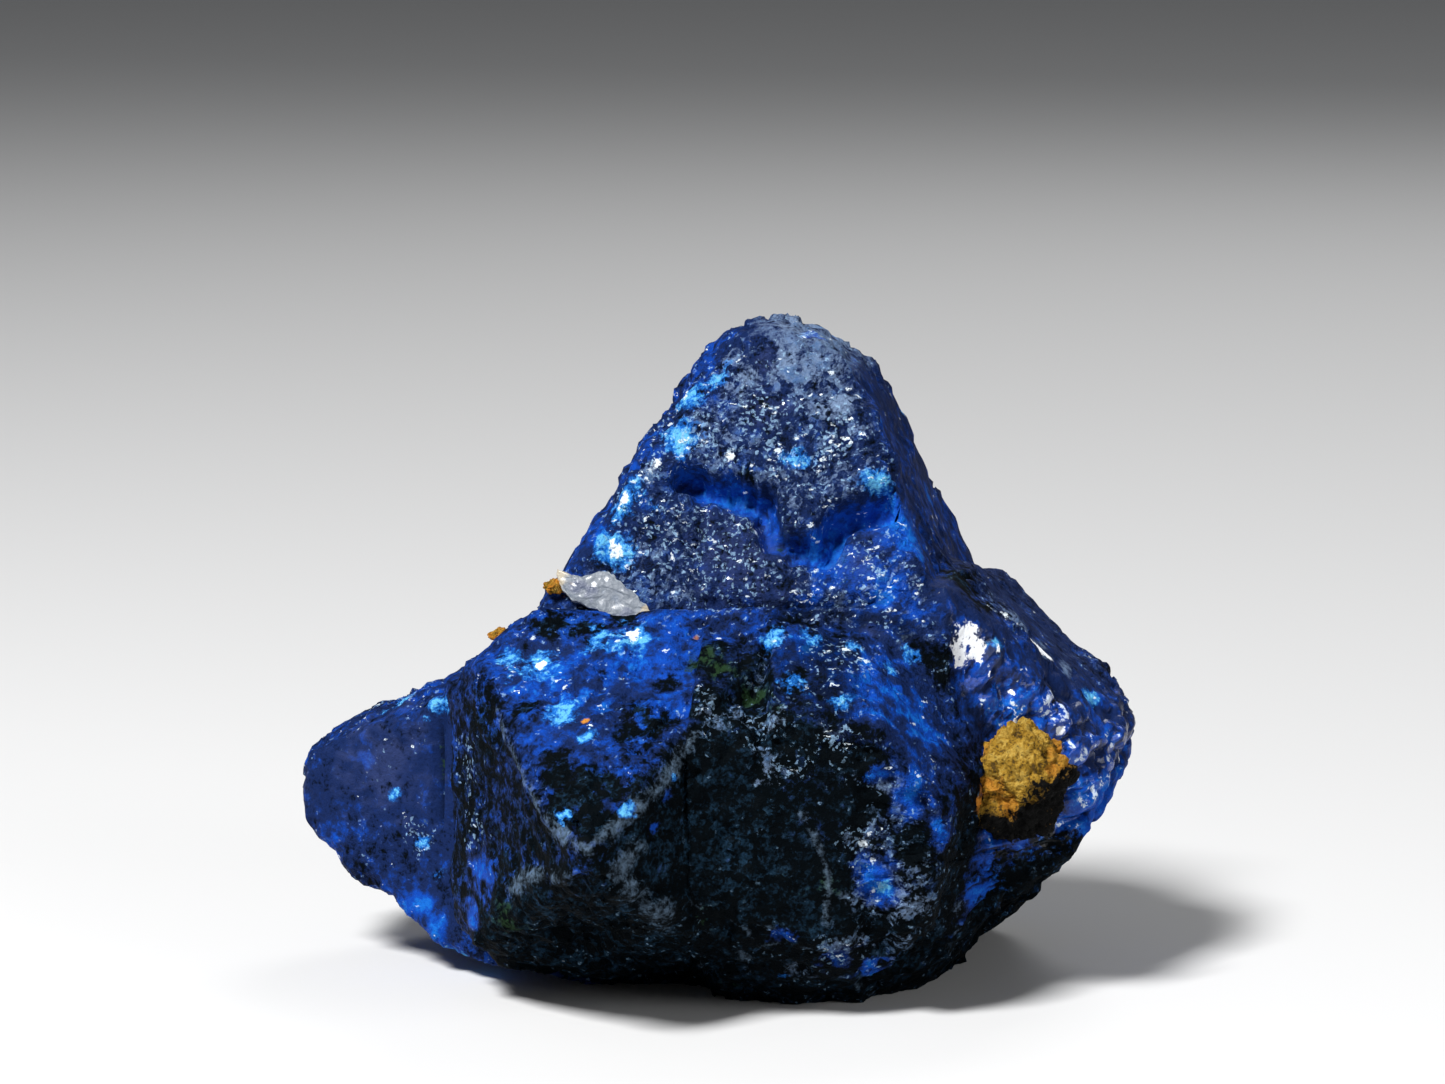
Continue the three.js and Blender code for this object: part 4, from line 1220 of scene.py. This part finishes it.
class LumpSettings(bpy.types.PropertyGroup):
    """Colours of the limonite."""

    ochre: tint("Ochre", "Colour of the earthy face", (0.28, 0.155, 0.015))
    gold: tint("Gold", "Colour of its lightest grains", (0.44, 0.29, 0.06))
    orange: tint("Orange", "Colour of its orange spots", (0.4, 0.14, 0.012))
    brown: tint("Brown", "Colour of its pores", (0.05, 0.03, 0.01))
    # Black also colours the painted shade under the lump.
    black: tint("Black", "Colour of the black part", (0.0025, 0.0025, 0.0025))
    grey: tint("Grey", "Colour of the dust on the black part", (0.09, 0.09, 0.07))


class FlakeSettings(bpy.types.PropertyGroup):
    """Colours of the pale flake."""

    pearl: tint("Pearl", "Colour of the plate", (0.12, 0.14, 0.17))
    lilac: tint("Lilac", "Colour of its clearer part", (0.065, 0.08, 0.13))
    white: tint("White", "Colour of its rim", (0.3, 0.33, 0.36))
    shade: tint("Shade", "Colour in its pits", (0.12, 0.15, 0.2))
    stain: tint("Stain", "Colour of the stain at its ends", (0.36, 0.3, 0.2))


class StageSettings(bpy.types.PropertyGroup):
    """The studio."""

    floor: tint("Floor", "Colour of the floor", (0.62, 0.62, 0.62))
    key: FloatProperty(
        name="Key light", description="Power of the main light", default=0.42,
        min=0.0, unit="POWER",
    )
    fill: FloatProperty(
        name="Fill light", description="Power of the other two", default=0.05,
        min=0.0, unit="POWER",
    )
    distance: FloatProperty(
        name="Camera distance", description="From the camera to the object", default=80 * MM,
        unit="LENGTH",
    )


# ---- Operators ----


class CRYSTAL_OT_star(bpy.types.Operator):
    """Builds the blue crystals in place of their solid"""

    bl_idname = "crystal.star"
    bl_label = "Star of crystals"

    def execute(self, context):
        look = context.scene.crystal_star
        points, faces, normals, reads = star_surface(look.relief, look.wear)
        material = crystal_material(look)
        piece("crystal_star", points, faces, reads, material, [STAR_NODE])
        rough, glossy, _ = reads["finish"]
        share = (0.01 + rough**3 + 0.05 * glossy) * (points[:, 2] > BREAK + 0.15)
        count, size = look.small_count, look.small_size / MM
        tips, sides, at = small_pyramids(points, normals, share, count, size, SCATTER_SEED)
        carried = {
            key: [np.repeat(value[at], 6) for value in values] for key, values in reads.items()
        }
        piece("small_pyramids", tips, sides, carried, material, [], smooth=False)
        return {"FINISHED"}


class CRYSTAL_OT_limonite(bpy.types.Operator):
    """Builds the limonite lump and the two ochre grains in place of their solids"""

    bl_idname = "crystal.limonite"
    bl_label = "Limonite"

    def execute(self, context):
        material = limonite_material(context.scene.crystal_limonite)
        points, faces, ball, swell = nodule(LUMP_NODE, LUMP_ROWS, 1.0, 317)
        across, up = ball @ RIGHTWARD, ball @ UPWARD
        # Black oxide towards the lump's lower, right side, which also paints the shade under it.
        black = ease(0.35 * swell - up + 0.4 * across - 0.15, -0.2, 0.3)
        black = black * ease(across + 0.2 * swell, -0.9, -0.6)
        orange = 0.7 * ease(abs(across) - swell, 0.1, 1.0)
        reads = {"tone": (black, orange, swell)}
        piece("ochre_lump", points, faces, reads, material, [LUMP_NODE])
        for i, node in enumerate(GRAIN_NODES):
            points, faces, ball, swell = nodule(node, GRAIN_ROWS, 1.3, 331 + 20 * i)
            reads = {"tone": (0 * swell, 0.6 + 0.4 * swell, swell)}
            piece(f"small_ochre_grain_{i + 1}", points, faces, reads, material, [node])
        return {"FINISHED"}


class CRYSTAL_OT_flake(bpy.types.Operator):
    """Builds the pale flake in place of its solid"""

    bl_idname = "crystal.flake"
    bl_label = "Pale flake"

    def execute(self, context):
        points, faces, reads = flake_surface()
        material = flake_material(context.scene.crystal_flake)
        piece("pearly_flake", points, faces, reads, material, [FLAKE_NODE])
        return {"FINISHED"}


FLOOR_REACH = 1500  # half the side of the floor, in millimetres
SKY = (0.8, 0.82, 0.85, 1.0)
SKY_STRENGTH = 0.14
LIT_HEIGHT = 4  # how high above the floor the lights are aimed, in millimetres


class CRYSTAL_OT_stage(bpy.types.Operator):
    """Builds the floor, the lights and the camera"""

    bl_idname = "crystal.stage"
    bl_label = "Studio"

    def execute(self, context):
        look = context.scene.crystal_stage
        scene = context.scene
        mesh = bpy.data.meshes.new("floor")
        reach = FLOOR_REACH * MM
        corners = [(-reach, -reach, 0), (reach, -reach, 0), (reach, reach, 0), (-reach, reach, 0)]
        mesh.from_pydata(corners, [], [(0, 1, 2, 3)])
        tree = Tree("floor")
        given = {"Base Color": rgb(look.floor), "Roughness": 0.7}
        shader = tree.node("ShaderNodeBsdfPrincipled", None, given)
        tree.node("ShaderNodeOutputMaterial", None, {"Surface": shader})
        mesh.materials.append(tree.material)
        floor = bpy.data.objects.new("floor", mesh)
        scene.collection.objects.link(floor)
        lamp(scene, "key light", (-60, -75, 120), look.key, 35)
        lamp(scene, "fill light", (110, -80, 60), look.fill, 60)
        lamp(scene, "back light", (40, 120, 110), look.fill, 60)
        world = bpy.data.worlds.new("studio")
        world.use_nodes = True
        sky = world.node_tree.nodes["Background"].inputs
        sky["Color"].default_value = SKY
        sky["Strength"].default_value = SKY_STRENGTH
        scene.world = world
        scene.view_settings.view_transform = "Standard"
        camera = bpy.data.cameras.new("camera")
        camera.sensor_width = SENSOR
        camera.lens = SENSOR * look.distance / (FRAME_WIDTH * MM)
        camera.clip_start = 1 * MM
        camera.clip_end = 10.0
        seen = bpy.data.objects.new("camera", camera)
        scene.collection.objects.link(seen)
        back = Vector((0, -math.cos(SIGHT), math.sin(SIGHT)))
        right = Vector((1, 0, 0))
        target = Vector(CENTRE * MM) + (right * AIM[0] + back.cross(right) * AIM[1]) * MM
        seen.location = target + back * look.distance
        seen.rotation_euler = back.to_track_quat("Z", "Y").to_euler()
        scene.camera = seen
        return {"FINISHED"}


def lamp(scene, name, place, power, size):
    """A square soft light of this size, in millimetres, aimed at the middle of the object."""
    light = bpy.data.lights.new(name, "AREA")
    light.energy = power
    light.size = size * MM
    made = bpy.data.objects.new(name, light)
    scene.collection.objects.link(made)
    made.location = Vector(place) * MM
    away = made.location - Vector((0, 0, LIT_HEIGHT * MM))
    made.rotation_euler = away.to_track_quat("Z", "Y").to_euler()


class CRYSTAL_PT_panel(bpy.types.Panel):
    """Lists the pieces of the crystal and their settings"""

    bl_idname = "CRYSTAL_PT_panel"
    bl_label = "Cumengeite crystal"
    bl_space_type = "VIEW_3D"
    bl_region_type = "UI"
    bl_category = "Crystal"

    def draw(self, context):
        for settings, operators in PANEL_ROWS:
            box = self.layout.box()
            group = getattr(context.scene, settings)
            for name in group.bl_rna.properties.keys():
                if name not in ("rna_type", "name"):
                    box.prop(group, name)
            for operator in operators:
                box.operator(operator.bl_idname)


PANEL_ROWS = (
    ("crystal_star", (CRYSTAL_OT_star,)),
    ("crystal_limonite", (CRYSTAL_OT_limonite,)),
    ("crystal_flake", (CRYSTAL_OT_flake,)),
    ("crystal_stage", (CRYSTAL_OT_stage,)),
)
SETTINGS = {
    "crystal_star": StarSettings,
    "crystal_limonite": LumpSettings,
    "crystal_flake": FlakeSettings,
    "crystal_stage": StageSettings,
}
OPERATORS = tuple(operator for settings, operators in PANEL_ROWS for operator in operators)
CLASSES = (*SETTINGS.values(), *OPERATORS, CRYSTAL_PT_panel)


def register():
    for one in CLASSES:
        bpy.utils.register_class(one)
    for name, settings in SETTINGS.items():
        setattr(bpy.types.Scene, name, PointerProperty(type=settings))


def unregister():
    for name in SETTINGS:
        delattr(bpy.types.Scene, name)
    for one in reversed(CLASSES):
        bpy.utils.unregister_class(one)


def main():
    """Builds every piece and the studio."""
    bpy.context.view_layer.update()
    register()
    bpy.ops.crystal.star()
    bpy.ops.crystal.limonite()
    bpy.ops.crystal.flake()
    bpy.ops.crystal.stage()


if __name__ == "__main__":
    main()
